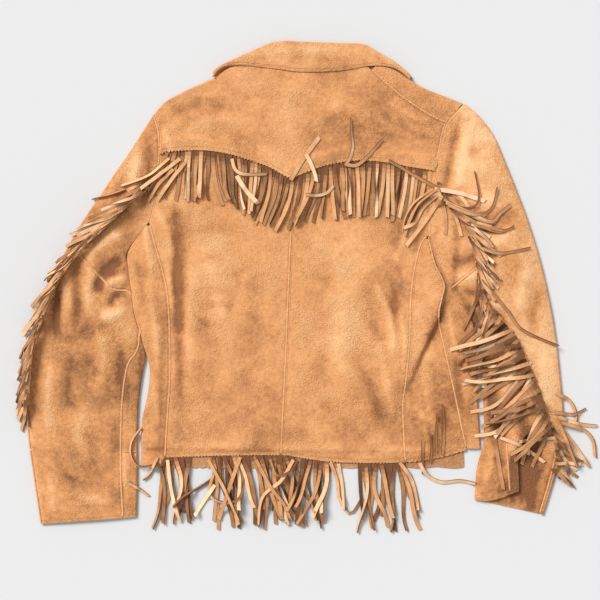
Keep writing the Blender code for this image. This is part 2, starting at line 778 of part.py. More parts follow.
def make_sleeve_fringe():
    def left_upper(at):
        hind = turn_of(along(SLEEVE_LEFT, at).hind_seam)
        return hind, max(hind - mix(0.14, 0.34, ease(at / 4)), 0.08)

    def right_upper(at):
        hind = turn_of(along(SLEEVE_RIGHT, at).hind_seam)
        return hind, hind - mix(0.08, 0.44, ease(at / 3)) + 0.24 * ease((at - 4) / 3)

    def right_lower(at):
        hind = turn_of(along(SLEEVE_RIGHT, at).hind_seam)
        return hind, mix(hind, 1, 0.85)

    sleeve_band("sleeve_fringe_left_upper", SLEEVE_LEFT, ARMHOLE_LEFT, 0.3, 5, left_upper)
    edge_band("sleeve_fringe_left_lower", SLEEVE_LEFT, ARMHOLE_LEFT, 5.1, 12, 0.1, 27)
    sleeve_band("sleeve_fringe_right_upper", SLEEVE_RIGHT, ARMHOLE_RIGHT, 0.3, 6.4, right_upper)
    sleeve_band("sleeve_fringe_right_lower", SLEEVE_RIGHT, ARMHOLE_RIGHT, 6.6, 10.4, right_lower)
    edge_band("sleeve_fringe_right_cuff", SLEEVE_RIGHT, ARMHOLE_RIGHT, 10.1, 11.9, 0.08, 52)


for old in list(bpy.data.objects):
    bpy.data.objects.remove(old, do_unlink=True)
jacket = bpy.data.collections.new("fringed_buckskin_jacket")
bpy.context.scene.collection.children.link(jacket)

make_back()
make_yoke()
make_shoulder()
make_sides()
make_fronts()
make_edge_strip()
make_collar()
make_left_sleeve()
make_right_sleeve()
make_yoke_fringe()
make_hem_fringe()
make_sleeve_fringe()
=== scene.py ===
"""A fringed buckskin jacket laid flat with its back up: panels, collar, sleeves, seams and cut fringes.

The frame is the laid garment's own: +Y runs towards the collar, +X towards the wearer's right sleeve, and
the floor is z = 0. Tables and sizes are in millimetres, and MM turns them into metres. Every panel is a
thin shell on the form of its CAD solid, with its listed folds laid in.
"""

import functools
import math
import random
from collections import namedtuple

import bpy
import numpy as np
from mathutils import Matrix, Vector
from mathutils.bvhtree import BVHTree


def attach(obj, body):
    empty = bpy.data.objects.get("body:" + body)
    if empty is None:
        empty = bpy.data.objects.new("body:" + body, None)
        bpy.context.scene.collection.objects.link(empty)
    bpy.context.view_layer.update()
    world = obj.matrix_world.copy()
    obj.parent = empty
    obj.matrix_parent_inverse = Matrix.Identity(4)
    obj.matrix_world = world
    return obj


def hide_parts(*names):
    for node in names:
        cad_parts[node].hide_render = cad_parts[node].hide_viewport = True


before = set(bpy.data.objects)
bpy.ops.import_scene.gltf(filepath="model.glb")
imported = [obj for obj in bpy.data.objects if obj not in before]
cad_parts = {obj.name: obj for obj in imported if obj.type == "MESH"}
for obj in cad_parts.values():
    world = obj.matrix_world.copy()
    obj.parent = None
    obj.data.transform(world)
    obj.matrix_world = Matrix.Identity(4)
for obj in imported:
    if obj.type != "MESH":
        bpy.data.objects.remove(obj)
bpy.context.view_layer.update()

MM = 0.001

# Driving dimensions
LEATHER = 1.8  # wall of a panel
COLLAR_WALL = 2.0
FRINGE_WALL = 1.8  # a layer of strands, as a plain band
SEAM = 0.4  # half of the opening between two panels along a seam
REST = 0.4  # between two walls that lie on each other
LAID = 6.2  # front and back on each other, outside to outside
UNDERLAP = 12.0  # how far the back goes up under the yoke
NECK_LIFT = 2.2  # the fronts lie on the collar's wings at the neck
NECK_FROM = 165.0
NECK_MIDDLE, NECK_HALF = 14.0, 175.0
FRONT_HEM = -252.0
PLEAT_RISE = 8.0  # the rolled fold at the right side
PLEAT_SPREAD = 38.0
PLEAT_DROP = 7.0
PLEAT_LOW, PLEAT_HIGH = -155.0, 90.0  # between these places along the body
SIDE_UNDER = 24.0  # how far a side panel turns under
UNDER_LEAST = 4.6
UNDER_FADE = 80.0  # below the armpit
COLLAR_ROLL = 3.4
COLLAR_FLOOR = 4.4
COLLAR_CROWN = 0.9
COLLAR_SAG = 2.4
COLLAR_LIP = 1.0  # how far its edge drops
SHOULDER_END = -130.0  # the yoke rounds over the left shoulder up to here
ROLL_SHARE = 0.12  # the part of a sleeve's ring that each folded edge takes
ROLL_WIDTH = 0.025  # and the part of its laid width
ARMHOLE_REACH = 3.0  # stations over which a sleeve loses the armhole's curve
FINE = 8  # places between two named ones, where a line is read

# Seams and outlines. Each is a run of places along the garment.
Place = namedtuple("Place", "x y")

ARMHOLE_LEFT = (
    Place(-220.5, 277.5), Place(-213.5, 254), Place(-211.5, 226), Place(-213.5, 200),
    Place(-217.5, 172), Place(-222, 143), Place(-228, 117),
)
ARMHOLE_RIGHT = (
    Place(246, 295.5), Place(228, 279), Place(217, 262), Place(211, 236),
    Place(205, 205), Place(199, 170), Place(196, 134), Place(195, 97.5),
)
EDGE_LEFT = (
    Place(-228, 117), Place(-248, 89), Place(-258, 68), Place(-257.5, 45), Place(-253, 12),
    Place(-249, -17), Place(-240, -48), Place(-230.5, -82), Place(-226, -106),
    Place(-228, -135), Place(-233, -160), Place(-238, -185), Place(-239, -252),
)
PRINCESS_LEFT = (
    Place(-227, 117), Place(-217.5, 82), Place(-207, 45), Place(-199, 5), Place(-196, -50),
    Place(-195.5, -115), Place(-200, -185), Place(-204, -252),
)
CENTRE_BACK = (
    Place(-12, 215), Place(-13.5, 112), Place(-18, 0), Place(-21, -75), Place(-29, -240),
)
PRINCESS_RIGHT = (
    Place(194.4, 97.5), Place(182, 85), Place(172, 45), Place(166.5, 0), Place(165, -55),
    Place(159.5, -120), Place(155, -152), Place(156, -200), Place(159, -248),
)
PLEAT = (
    Place(196, 92), Place(206, 60), Place(219, 20), Place(219, 0), Place(205, -30),
    Place(180, -82), Place(163, -126), Place(152, -150),
)
SIDE_SEAM = (
    Place(193, 97.5), Place(194.5, 88), Place(202.5, 54), Place(216, 24), Place(213, 4),
    Place(208, -28), Place(218, -75), Place(229.5, -126), Place(244, -195), Place(252, -230),
)
EDGE_RIGHT = (
    Place(198.5, 97.5), Place(200, 88), Place(208, 54), Place(226, 18), Place(238, -4),
    Place(253, -26), Place(258.5, -40), Place(262.5, -67), Place(265.5, -120),
    Place(268, -165), Place(272, -240),
)
CENTRE_FRONT = (Place(5, 260), Place(-12, 0), Place(-28, -260))

# Upper and lower outlines, from left to right.
BACK_HEM = (
    Place(-212, -237), Place(-120, -234), Place(-28, -233), Place(0, -237), Place(60, -244),
    Place(158, -244), Place(210, -237), Place(249, -226), Place(274, -222),
)
YOKE_EDGE = (
    Place(-214, 219), Place(-187, 223.5), Place(-150, 225), Place(-112, 220.5), Place(-75, 210),
    Place(-45, 199), Place(-22, 186), Place(-12, 183), Place(0, 188), Place(30, 199.5),
    Place(60, 206.5), Place(90, 209.5), Place(127, 207), Place(165, 200), Place(206, 194),
)
YOKE_TOP = (
    Place(-220.5, 277), Place(-210, 291), Place(-195, 303), Place(-159, 321), Place(-130, 333),
    Place(-120, 340), Place(-106, 349), Place(-80, 358), Place(-50, 364), Place(0, 365),
    Place(60, 363), Place(92, 356), Place(106, 347), Place(150, 307.5), Place(195, 277.5),
    Place(219, 266),
)
FRONT_TOP_LEFT = (
    Place(-220.5, 276.5), Place(-210, 290), Place(-195, 302), Place(-159, 320), Place(-130, 332),
    Place(-108, 322), Place(-75, 287), Place(-40, 258), Place(5, 248),
)
FRONT_TOP_RIGHT = (
    Place(5, 248), Place(50, 260), Place(95, 290), Place(132, 326), Place(152, 335.5),
    Place(165, 329.5), Place(187, 316.5), Place(217, 305), Place(246, 294.5),
)

# Pieces that run from one line to another: a row for each section.
Across = namedtuple("Across", "from_x from_y to_x to_y")

SHOULDER_RIGHT = [
    Across(108, 346, 116, 353.5), Across(130, 325.5, 140, 347), Across(152, 306.5, 163, 332),
    Across(174, 291.5, 187.5, 318), Across(197, 277, 217.5, 306), Across(219.5, 266.5, 245.5, 295),
]
COLLAR = [
    Across(-130, 334, -131.5, 342), Across(-121.5, 345, -123, 350), Across(-108, 351, -106.5, 359),
    Across(-85.5, 352.5, -79.5, 371), Across(-60, 350, -48, 385), Across(-30, 346.5, -22.5, 389.3),
    Across(0, 343, 4.5, 388), Across(45, 343.5, 45, 386.5), Across(78, 347, 78, 385.5),
    Across(105, 351.5, 99, 383.3), Across(132, 350.5, 121.5, 370.5), Across(150, 343.5, 145, 356.5),
    Across(164.5, 331.5, 165.5, 339),
]
COLLAR_STAND = [2, 2, 4, 9, 17, 22, 22, 22, 22, 20, 11, 5, 2]  # under each section of the collar
WING_LEFT = [
    Across(-118, 338, -126, 331), Across(-95, 314, -130, 286), Across(-62, 280, -105, 238),
    Across(-22, 253, -62, 205),
]
WING_RIGHT = [
    Across(148, 342, 157, 333), Across(120, 318, 155, 288), Across(76, 280, 122, 240),
    Across(28, 253, 74, 205),
]

# A sleeve: a row for each station from the armhole to the cuff. The seams are shares of the laid
# width, from the outer fold (0) over the upper side to the inner fold (1) and on round underneath.
Station = namedtuple("Station", "outer_x outer_y inner_x inner_y crown fold hind_seam fore_seam vent")

SLEEVE_LEFT = [
    Station(-221, 277.5, -228.6, 117, 6.4, 3.1, 0.58, 1.00, 0.58),
    Station(-240, 247.5, -241, 102, 8.5, 3.2, 0.60, 1.00, 0.60),
    Station(-259.5, 217.5, -252.5, 86, 10.5, 3.2, 0.55, 1.00, 0.55),
    Station(-280.5, 187.5, -263, 68, 12.0, 3.3, 0.48, 1.00, 0.48),
    Station(-300, 157.5, -260.5, 46, 13.0, 3.4, 0.37, 1.01, 0.37),
    Station(-321, 127.5, -255.5, 13, 13.5, 3.5, 0.24, 1.02, 0.24),
    Station(-347, 84, -251.5, -18, 13.5, 3.6, 0.13, 1.02, 0.13),
    Station(-367.5, 42, -243, -49, 13.0, 3.6, 0.07, 0.99, 0.07),
    Station(-384.5, -4.5, -233, -84, 12.5, 3.6, 0.04, 0.91, 0.04),
    Station(-396, -42, -235.5, -103, 12.0, 3.6, 0.03, 0.86, 0.03),
    Station(-405, -82.5, -239, -124, 12.0, 3.6, 0.02, 0.85, 0.02),
    Station(-410, -135, -242.5, -154, 11.5, 3.5, 0.02, 0.85, 0.02),
    Station(-409.5, -198, -245, -204, 11.0, 3.4, 0.02, 0.85, 0.02),
    Station(-400.5, -267, -244.5, -265, 10.0, 3.4, 0.02, 0.84, 0.02),
    Station(-390, -337, -246, -326, 9.0, 3.4, 0.02, 0.86, 0.02),
]
SLEEVE_RIGHT = [
    Station(246.6, 295.5, 195.6, 97.5, 6.4, 3.1, 0.64, 1.15, 0.64),
    Station(268.5, 277.5, 201, 87, 9.0, 3.3, 0.68, 1.15, 0.68),
    Station(291, 247.5, 206, 70, 12.0, 3.6, 0.66, 1.15, 0.66),
    Station(310.5, 202.5, 211.5, 54, 14.5, 4.0, 0.62, 1.15, 0.62),
    Station(328.5, 157.5, 220, 37, 16.0, 4.2, 0.62, 1.15, 0.62),
    Station(345, 112.5, 231, 18, 17.0, 4.4, 0.68, 1.15, 0.68),
    Station(363, 52.5, 243, -5, 17.0, 4.4, 0.76, 1.15, 0.76),
    Station(376.5, -7.5, 258, -25, 16.5, 4.4, 0.68, 1.15, 0.68),
    Station(384, -52.5, 280, -56, 15.5, 4.2, 0.58, 1.15, 0.58),
    Station(390, -105, 275, -102, 15.0, 4.0, 0.38, 1.15, 0.38),
    Station(396, -172.5, 276, -162, 14.0, 4.0, 0.21, 1.15, 0.23),
    Station(394.5, -217.5, 276, -212, 13.0, 3.8, 0.08, 1.15, 0.53),
    Station(384, -262.5, 266, -254, 12.0, 3.6, 0.05, 1.15, 0.47),
    Station(366, -322.5, 262.5, -300, 11.0, 3.4, 0.05, 1.15, 0.34),
]
ELBOW_LEFT = 6.0
ELBOW_LEFT_RISE = 0.8  # stations that the elbow seam climbs at the inner fold
ELBOW_RIGHT = 5.0
PIECING_LEFT = 12.4
PIECING_RIGHT = 10.0
CUFF_SHORT = 0.6  # stations that the right under sleeve's cuff falls short at its vent
GAP_TURN = 0.006  # half of the opening of a seam along a sleeve, round its ring
GAP_STATION = 0.02  # and of one across it
GAP_ARMHOLE = 0.04

# How finely the leather is laid out
PITCH = 2.5  # between columns, half of a pinked tooth
TOOTH = 2.6  # from a tooth's tip to its root
SEAM_ROLL = 3.4  # width over which a panel rolls down into its seam
SEAM_DROP = 1.3
SLEEVE_STEP = 0.1  # stations
RUBBED_WIDTH = 2.2  # how far in from its edges a panel is worn pale


def smooth_run(rows, at):
    """The rows at places between them, counted from 0, on one smooth curve."""
    rows = np.array(rows, float)
    at = np.clip(np.asarray(at, float), 0, len(rows) - 1)
    first = np.minimum(at.astype(int), len(rows) - 2)
    share = (at - first)[..., None]
    before, start, end, after = (
        rows[np.clip(first + step, 0, len(rows) - 1)] for step in (-1, 0, 1, 2)
    )
    slope_in, slope_out = (end - before) / 2, (after - start) / 2
    square, cube = share**2, share**3
    return (
        (2 * cube - 3 * square + 1) * start
        + (cube - 2 * square + share) * slope_in
        + (3 * square - 2 * cube) * end
        + (cube - square) * slope_out
    )


@functools.cache
def traced(line, key):
    """A line's closely spaced places as (in order, read off) for reading it by x or by y."""
    count = FINE * (len(line) - 1) + 1
    dense = smooth_run(line, np.linspace(0, len(line) - 1, count))
    order = np.argsort(dense[:, key], kind="stable")
    return dense[order, key], dense[order, 1 - key]


def x_of(line, y):
    return np.interp(y, *traced(line, 1))


def y_of(line, x):
    return np.interp(x, *traced(line, 0))


def ease(share):
    """0 to 1, level at both ends."""
    share = np.clip(share, 0, 1)
    return share * share * (3 - 2 * share)


def mix(start, end, share):
    return start + (end - start) * share


def hill(x, y, at_x, at_y, radius_x, radius_y=None):
    """A soft round spot, 1 at its middle."""
    radius_y = radius_y or radius_x
    return np.exp(-(((x - at_x) / radius_x) ** 2) - ((y - at_y) / radius_y) ** 2)


def cloud(x, y, cell, seed):
    """Soft seeded unevenness between -1 and 1, with one value for each cell."""
    lattice = np.random.default_rng(seed).uniform(-1, 1, (256, 256))
    u, v = x / cell + 57.3, y / cell + 91.7
    left, low = np.floor(u).astype(int), np.floor(v).astype(int)
    right_share, up_share = ease(u - left), ease(v - low)
    rows = []
    for row in (low, low + 1):
        rows.append(mix(lattice[left % 256, row % 256], lattice[(left + 1) % 256, row % 256], right_share))
    return mix(rows[0], rows[1], up_share)


# Folds, listed one by one. Each runs along its places; a height below 0 is a trough, and skew leans it.
Fold = namedtuple("Fold", "path width height skew", defaults=(0.0,))
FOLD_STEPS = 5  # straight pieces between two of its places
FOLD_END = 0.3  # share of its length over which it rises or dies away
FOLD_DEPTH = 1.45
DEEPEST = -1.6  # the lowest trough in the laid body


def beside(x, y, start, end):
    """The share along a straight piece that is nearest to each place, and the way from it to that place."""
    run_x, run_y = end[0] - start[0], end[1] - start[1]
    share = np.clip(((x - start[0]) * run_x + (y - start[1]) * run_y) / (run_x * run_x + run_y * run_y), 0, 1)
    return share, x - start[0] - share * run_x, y - start[1] - share * run_y


def fold_heights(folds, x, y):
    total = np.zeros_like(x)
    for fold in folds:
        last = len(fold.path) - 1
        path = smooth_run(fold.path, np.linspace(0, last, FOLD_STEPS * last + 1))
        reach = 3 * fold.width
        near = (
            (x > path[:, 0].min() - reach) & (x < path[:, 0].max() + reach)
            & (y > path[:, 1].min() - reach) & (y < path[:, 1].max() + reach)
        )
        if not near.any():
            continue
        px, py = x[near], y[near]
        best, side, place = np.full(px.shape, 1e9), np.zeros_like(px), np.zeros_like(px)
        for index in range(len(path) - 1):
            share, off_x, off_y = beside(px, py, path[index], path[index + 1])
            run_x, run_y = path[index + 1] - path[index]
            gap = np.hypot(off_x, off_y)
            closer = gap < best
            best = np.where(closer, gap, best)
            side = np.where(closer, np.sign(run_x * off_y - run_y * off_x), side)
            place = np.where(closer, (index + share) / (len(path) - 1), place)
        width = fold.width * (1 + fold.skew * side)
        taper = ease(place / FOLD_END) * ease((1 - place) / FOLD_END)
        total[near] += fold.height * np.exp(-((best / width) ** 2)) * taper
    return total


BODY_FOLDS = [
    # the hollow and the ridge beside the left princess seam
    Fold(((-186, 100), (-182, 40), (-184, -40), (-180, -120), (-184, -180)), 9, -1.5, 0.3),
    Fold(((-166, 70), (-164, 0), (-168, -90), (-170, -170)), 12, 1.5),
    Fold(((-205, 80), (-196, 30), (-190, -30)), 5, 1.2),
    # long soft drops in the back
    Fold(((-120, 110), (-126, 30), (-118, -60), (-124, -150)), 16, 0.9),
    Fold(((-70, 60), (-64, -20), (-72, -110)), 14, -0.8),
    Fold(((60, 100), (70, 30), (62, -60), (70, -160)), 18, 1.0),
    Fold(((30, 20), (36, -70), (28, -150)), 13, -0.7),
    # creases that curve in towards the right seam
    Fold(((108, 30), (128, 0), (140, -45), (142, -110)), 7, 1.7, -0.3),
    Fold(((120, 20), (140, -15), (150, -60)), 5, -1.2),
    Fold(((98, -40), (120, -75), (134, -130), (138, -190)), 9, 1.6),
    Fold(((86, -95), (108, -130), (122, -185)), 7, -1.1),
    Fold(((150, -20), (158, -60), (156, -110)), 4, 1.1),
    Fold(((76, -10), (96, -40), (106, -90)), 8, 0.9),
    # the pull lines under the right armhole
    Fold(((192, 128), (170, 110), (150, 76), (142, 40)), 7, 1.7, 0.3),
    Fold(((197, 112), (180, 92), (168, 60)), 4, -1.3),
    Fold(((188, 150), (160, 140), (132, 120)), 8, 1.0),
    # the pull lines under the left armhole
    Fold(((-224, 140), (-205, 118), (-196, 84), (-190, 50)), 6, 1.6),
    Fold(((-228, 122), (-232, 96), (-226, 60), (-222, 20)), 5, 1.5, 0.3),
    Fold(((-216, 160), (-190, 150), (-160, 128)), 9, 1.0),
    # the left side panel
    Fold(((-246, 70), (-240, 30), (-232, -20)), 5, -1.2),
    Fold(((-226, 40), (-222, -10), (-214, -70), (-216, -130)), 6, 1.4),
    Fold(((-236, -60), (-222, -90), (-208, -130)), 4.5, -1.0),
    Fold(((-228, -120), (-216, -150), (-212, -200)), 5, 1.3),
    # the right side panel
    Fold(((222, 0), (230, -50), (240, -100)), 5, 1.4),
    Fold(((244, -60), (236, -110), (246, -170)), 6, -1.0),
    Fold(((200, -60), (190, -110), (196, -170), (214, -210)), 9, 1.3),
    Fold(((176, -150), (186, -190), (190, -230)), 6, 1.0),
    # the shoulders and the yoke
    Fold(((-205, 250), (-170, 262), (-120, 268), (-60, 262)), 13, 1.0),
    Fold(((-196, 284), (-150, 296), (-100, 300)), 9, -0.7),
    Fold(((40, 292), (90, 282), (140, 262)), 12, 0.9),
    Fold(((128, 300), (160, 280), (200, 262)), 7, 1.5, 0.2),
    Fold(((150, 262), (180, 246), (204, 240)), 6, -1.0),
    Fold(((-20, 340), (-14, 280), (-16, 220)), 12, 0.7),
    Fold(((-207, 262), (-196, 235), (-190, 210)), 6, 1.3),
    Fold(((-118, 336), (-96, 312), (-60, 300)), 7, -0.7),
    # the hem
    Fold(((-180, -225), (-130, -219), (-80, -224)), 6, 0.9),
    Fold(((-40, -226), (20, -222), (90, -228)), 7, 1.0),
    Fold(((110, -232), (160, -226), (214, -224)), 6, 1.2),
]
LEFT_SLEEVE_FOLDS = [
    # the crease where the sleeve is set in
    Fold(((-232, 250), (-228, 210), (-232, 168), (-240, 130)), 7, -2.0),
    Fold(((-240, 240), (-246, 200), (-250, 160), (-254, 120)), 8, 2.0),
    Fold(((-262, 200), (-272, 160), (-276, 120)), 9, -1.6),
    # inner elbow
    Fold(((-262, 66), (-284, 52), (-300, 30), (-306, 4)), 8, -4.0, 0.3),
    Fold(((-256, 30), (-278, 30), (-296, 16)), 6, 2.4),
    Fold(((-254, 12), (-276, 6), (-290, -12)), 6, -2.6),
    Fold(((-262, 100), (-286, 92), (-310, 72), (-326, 40)), 10, 2.4),
    Fold(((-258, -10), (-280, -22), (-304, -24)), 7, 2.2),
    Fold(((-250, 44), (-270, 42), (-286, 30)), 4, -1.8),
    # the deep fold along the outside of the elbow
    Fold(((-378, 70), (-370, 40), (-364, 4), (-366, -36), (-360, -70)), 7, -4.2, -0.3),
    Fold(((-362, 76), (-352, 40), (-348, 0), (-348, -46)), 9, 2.2),
    Fold(((-330, 70), (-338, 30), (-336, -12), (-344, -50)), 9, -1.9),
    Fold(((-310, 60), (-318, 20), (-316, -30)), 8, 1.8),
    # forearm
    Fold(((-300, -40), (-296, -90), (-304, -150)), 12, 1.7),
    Fold(((-270, -60), (-266, -110), (-262, -160)), 8, -2.0),
    Fold(((-340, -70), (-350, -120), (-346, -170)), 10, -1.7),
    Fold(((-372, -90), (-380, -140), (-376, -200)), 8, 1.6),
    Fold(((-320, -150), (-330, -200), (-322, -250)), 11, 1.5),
    Fold(((-280, -170), (-276, -220), (-282, -280)), 9, -1.5),
    Fold(((-370, -230), (-352, -262), (-330, -276)), 8, -1.4),
    Fold(((-258, -210), (-262, -260), (-256, -310)), 6, 1.4),
    Fold(((-384, -250), (-372, -290), (-374, -326)), 7, 1.3),
    Fold(((-340, -290), (-310, -300), (-280, -296)), 7, 1.2),
]
RIGHT_SLEEVE_FOLDS = [
    # the crease where the sleeve is set in
    Fold(((246, 280), (234, 250), (226, 216), (220, 180), (212, 140)), 6, -2.0),
    Fold(((258, 274), (250, 240), (244, 200), (232, 160)), 9, 2.0),
    Fold(((290, 240), (270, 226), (250, 222)), 8, -1.8),
    Fold(((300, 210), (276, 200), (252, 200), (236, 190)), 9, 1.7),
    # upper arm
    Fold(((330, 140), (300, 120), (266, 112), (240, 116)), 12, -2.2),
    Fold(((336, 112), (306, 92), (276, 86), (240, 84)), 11, 2.3),
    Fold(((300, 160), (284, 150), (262, 150)), 8, 1.6),
    # inner elbow
    Fold(((222, 60), (246, 58), (270, 64), (296, 60)), 7, -2.6),
    Fold(((232, 36), (256, 34), (280, 38), (306, 30)), 7, 2.6),
    Fold(((238, 14), (262, 10), (290, 12)), 6, -2.6),
    Fold(((248, -8), (272, -12), (296, -8), (320, -14)), 8, 2.4),
    Fold(((262, -30), (288, -34), (312, -30)), 7, -2.4),
    Fold(((350, 60), (334, 20), (330, -20)), 10, 1.9),
    Fold(((366, 20), (352, -20), (350, -60)), 9, -2.0),
    # forearm
    Fold(((300, -70), (310, -110), (306, -160)), 10, 1.9),
    Fold(((330, -80), (338, -130), (330, -180)), 10, -1.9),
    Fold(((364, -70), (370, -120), (362, -180)), 10, 1.7),
    Fold(((290, -120), (286, -170), (292, -220)), 7, -1.6),
    Fold(((352, -180), (360, -206), (374, -224)), 8, -3.4),
    Fold(((352, -206), (362, -236), (374, -252)), 6, 1.9),
    Fold(((320, -180), (316, -230), (304, -280)), 9, 1.5),
    Fold(((350, -230), (340, -270), (330, -310)), 8, -1.5),
    Fold(((288, -230), (284, -260), (278, -290)), 6, 1.3),
]


def wrinkles(x, y, folds):
    """The listed folds, with the leather's own slight unevenness."""
    uneven = 0.5 * cloud(x, y, 34, 3) + 0.36 * cloud(x, y, 15, 4) + 0.2 * cloud(x, y, 8, 5)
    return FOLD_DEPTH * fold_heights(folds, x, y) + uneven


# Heights of the laid body


def pleat_height(x, y):
    """The rolled fold at the right: it rises slowly from the left and drops off at its edge."""
    side = x - x_of(PLEAT, y)
    shape = np.where(side < 0, np.exp(-((side / PLEAT_SPREAD) ** 2)), 1 - ease(side / PLEAT_DROP))
    return PLEAT_RISE * shape * ease((y - PLEAT_LOW) / 90) * ease((PLEAT_HIGH - y) / 60)


def smooth_back_height(x, y):
    return LAID + pleat_height(x, y)


def back_height(x, y):
    calm = ease((y + 246) / 20) * 0.7 + 0.3
    return smooth_back_height(x, y) + np.maximum(wrinkles(x, y, BODY_FOLDS) * calm, DEEPEST)


def neck_lift(x, y):
    """How far the fronts are lifted by the collar's wings."""
    return NECK_LIFT * ease((y - NECK_FROM) / 40) * ease((NECK_HALF - abs(x - NECK_MIDDLE)) / 35)


def front_height(x, y):
    return LEATHER + neck_lift(x, y) + 0.25 + 0.25 * cloud(x, y, 26, 8)


def rounded(depth, radius):
    """How far a rounded edge has risen at a depth in from it."""
    depth = np.clip(depth, 0, radius)
    return np.sqrt(radius**2 - (radius - depth) ** 2)


def shoulder_height(x, y, depth):
    """A panel that rounds down over the shoulder at the edge that depth is measured from."""
    foot = LEATHER + neck_lift(x, y) + 2 * REST
    return foot + (back_height(x, y) - foot) * rounded(depth, LAID / 2) / (LAID / 2)


def yoke_height(x, y):
    """The yoke lies on the back panels and the fringe along its edge, and rounds over the left shoulder."""
    over = 2 * REST + FRINGE_WALL + LEATHER
    above = y - y_of(YOKE_EDGE, x)
    lap = 1 - ease((above - UNDERLAP - 2) / 12)
    height = back_height(x, y)
    shoulder = shoulder_height(x, y, y_of(YOKE_TOP, x) - y)
    height = np.where(x < SHOULDER_END, np.minimum(height, shoulder), height)
    return height + over * lap - 0.3 * ease(1 - above / 3)


# Finishes

Tones = namedtuple("Tones", "dark mid pale")
Patch = namedtuple("Patch", "x y radius_x radius_y tone")

# Lighter places are wear and bleaching; darker ones are stains and painted shade in hollows, under folds and
# in the cuff's opening.
STAIN_AND_SHADE_PATCHES = {
    "back": [
        # rubbed and bleached places above 0; stains, and painted shade in hollows and under folds, below
        Patch(-150, 285, 60, 34, -0.30), Patch(-60, 300, 70, 40, -0.10), Patch(40, 262, 50, 30, -0.42),
        Patch(70, 240, 36, 22, -0.30), Patch(140, 250, 46, 26, -0.20), Patch(-186, 196, 30, 20, 0.30),
        Patch(-120, 60, 90, 70, 0.24), Patch(80, 80, 80, 60, 0.34), Patch(60, -40, 90, 90, 0.12),
        Patch(-70, -120, 60, 80, -0.16), Patch(-140, -150, 40, 60, -0.12), Patch(90, -180, 70, 40, -0.12),
        Patch(150, -30, 40, 70, 0.16), Patch(-206, 20, 24, 60, 0.26), Patch(-214, -120, 22, 60, 0.20),
        Patch(170, 120, 26, 40, 0.30), Patch(-180, -20, 10, 150, -0.40), Patch(200, -130, 26, 60, -0.10),
        Patch(226, -120, 44, 110, -0.48), Patch(196, -190, 50, 60, -0.60), Patch(-134, 108, 44, 10, -0.50),
        Patch(0, 374, 160, 22, 0.60), Patch(150, 270, 60, 44, -0.46), Patch(-80, 280, 110, 60, 0.16),
        Patch(0, 330, 120, 16, -0.14), Patch(-226, 0, 26, 90, -0.34), Patch(120, 274, 60, 40, -0.30),
        Patch(148, -110, 20, 90, -0.22),
    ],
    "sleeve_left": [
        Patch(-300, -110, 60, 60, -0.34), Patch(-262, -130, 30, 60, -0.14), Patch(-340, -150, 50, 50, -0.22),
        Patch(-330, -250, 50, 50, -0.34), Patch(-280, -230, 34, 60, -0.12), Patch(-372, -190, 30, 70, 0.20),
        Patch(-358, -240, 20, 30, 0.20), Patch(-300, 50, 36, 40, -0.10), Patch(-262, 170, 26, 60, 0.30),
        Patch(-276, 20, 22, 26, 0.20), Patch(-388, -60, 14, 60, 0.30), Patch(-330, 20, 30, 50, -0.14),
        Patch(-380, -300, 20, 40, -0.10), Patch(-290, -310, 40, 26, -0.16), Patch(-250, 230, 20, 40, 0.24),
        Patch(-256, -190, 12, 60, 0.16), Patch(-310, -180, 26, 22, 0.16),
    ],
    "sleeve_right": [
        Patch(262, 262, 24, 30, 0.60), Patch(276, 236, 22, 20, 0.50), Patch(250, 286, 18, 20, 0.40),
        Patch(310, 190, 40, 40, 0.22), Patch(350, 90, 34, 50, 0.20), Patch(378, -90, 16, 60, 0.40),
        Patch(370, -130, 24, 30, 0.50), Patch(350, -60, 30, 30, 0.34), Patch(364, 0, 18, 60, 0.10),
        Patch(320, 120, 24, 30, -0.22), Patch(290, 90, 30, 24, -0.16), Patch(330, -230, 26, 60, -0.20),
        Patch(380, -240, 16, 50, 0.24), Patch(316, -270, 60, 60, -1.05), Patch(300, 30, 40, 26, -0.20),
        Patch(346, -250, 18, 60, -0.60), Patch(296, -150, 26, 80, -0.60), Patch(306, -30, 40, 40, -0.46),
    ],
}
FAMILY_TONE = {"sleeve_left": -0.08, "sleeve_right": 0.20}
# Painted shade along folds, seams and the gaps between parts: from, to, width and tone
Crease = namedtuple("Crease", "x y to_x to_y width tone")
CREASE_SHADE = {
    "back": [
        Crease(-188, 140, -189, 10, 6, -0.6), Crease(-184, 130, -184, -30, 15, -0.5),
        Crease(-205, -30, -212, -224, 9, -0.7), Crease(-198, 120, -204, 30, 5, -0.3),
        Crease(118, 150, 142, -16, 30, -0.36), Crease(150, 120, 146, -10, 8, -0.3),
        Crease(138, 30, 143, -20, 5, -0.5), Crease(100, -30, 142, -136, 13, -0.42),
        Crease(84, -90, 132, -190, 14, -0.3), Crease(230, 14, 196, -54, 7, -0.9),
        Crease(196, -54, 160, -132, 5, -0.9), Crease(-230, -224, 160, -229, 3, -0.5),
        Crease(100, 20, 120, -60, 10, -0.3), Crease(-186, 282, -130, 300, 7, -0.2),
        Crease(-176, 262, -120, 290, 7, -0.2), Crease(-196, 246, -160, 268, 7, -0.16),
    ],
    "sleeve_left": [
        Crease(-262, 150, -250, 40, 10, -0.4), Crease(-300, 50, -262, 20, 8, -0.4),
        Crease(-290, 20, -256, -4, 9, -0.4), Crease(-240, -40, -236, -300, 6, -0.7),
        Crease(-352, -60, -300, -40, 8, -0.4),
    ],
    "sleeve_right": [
        Crease(236, 150, 232, 20, 6, -0.8), Crease(232, 16, 270, -36, 6, -1.0),
        Crease(316, -232, 320, -298, 3, -1.2), Crease(330, -238, 336, -292, 4, -1.2),
        Crease(352, -214, 346, -318, 8, -1.3), Crease(334, -180, 340, -214, 8, -1.0),
        Crease(280, -120, 300, -196, 8, -0.7), Crease(384, -232, 362, -316, 4, -0.7),
    ],
}
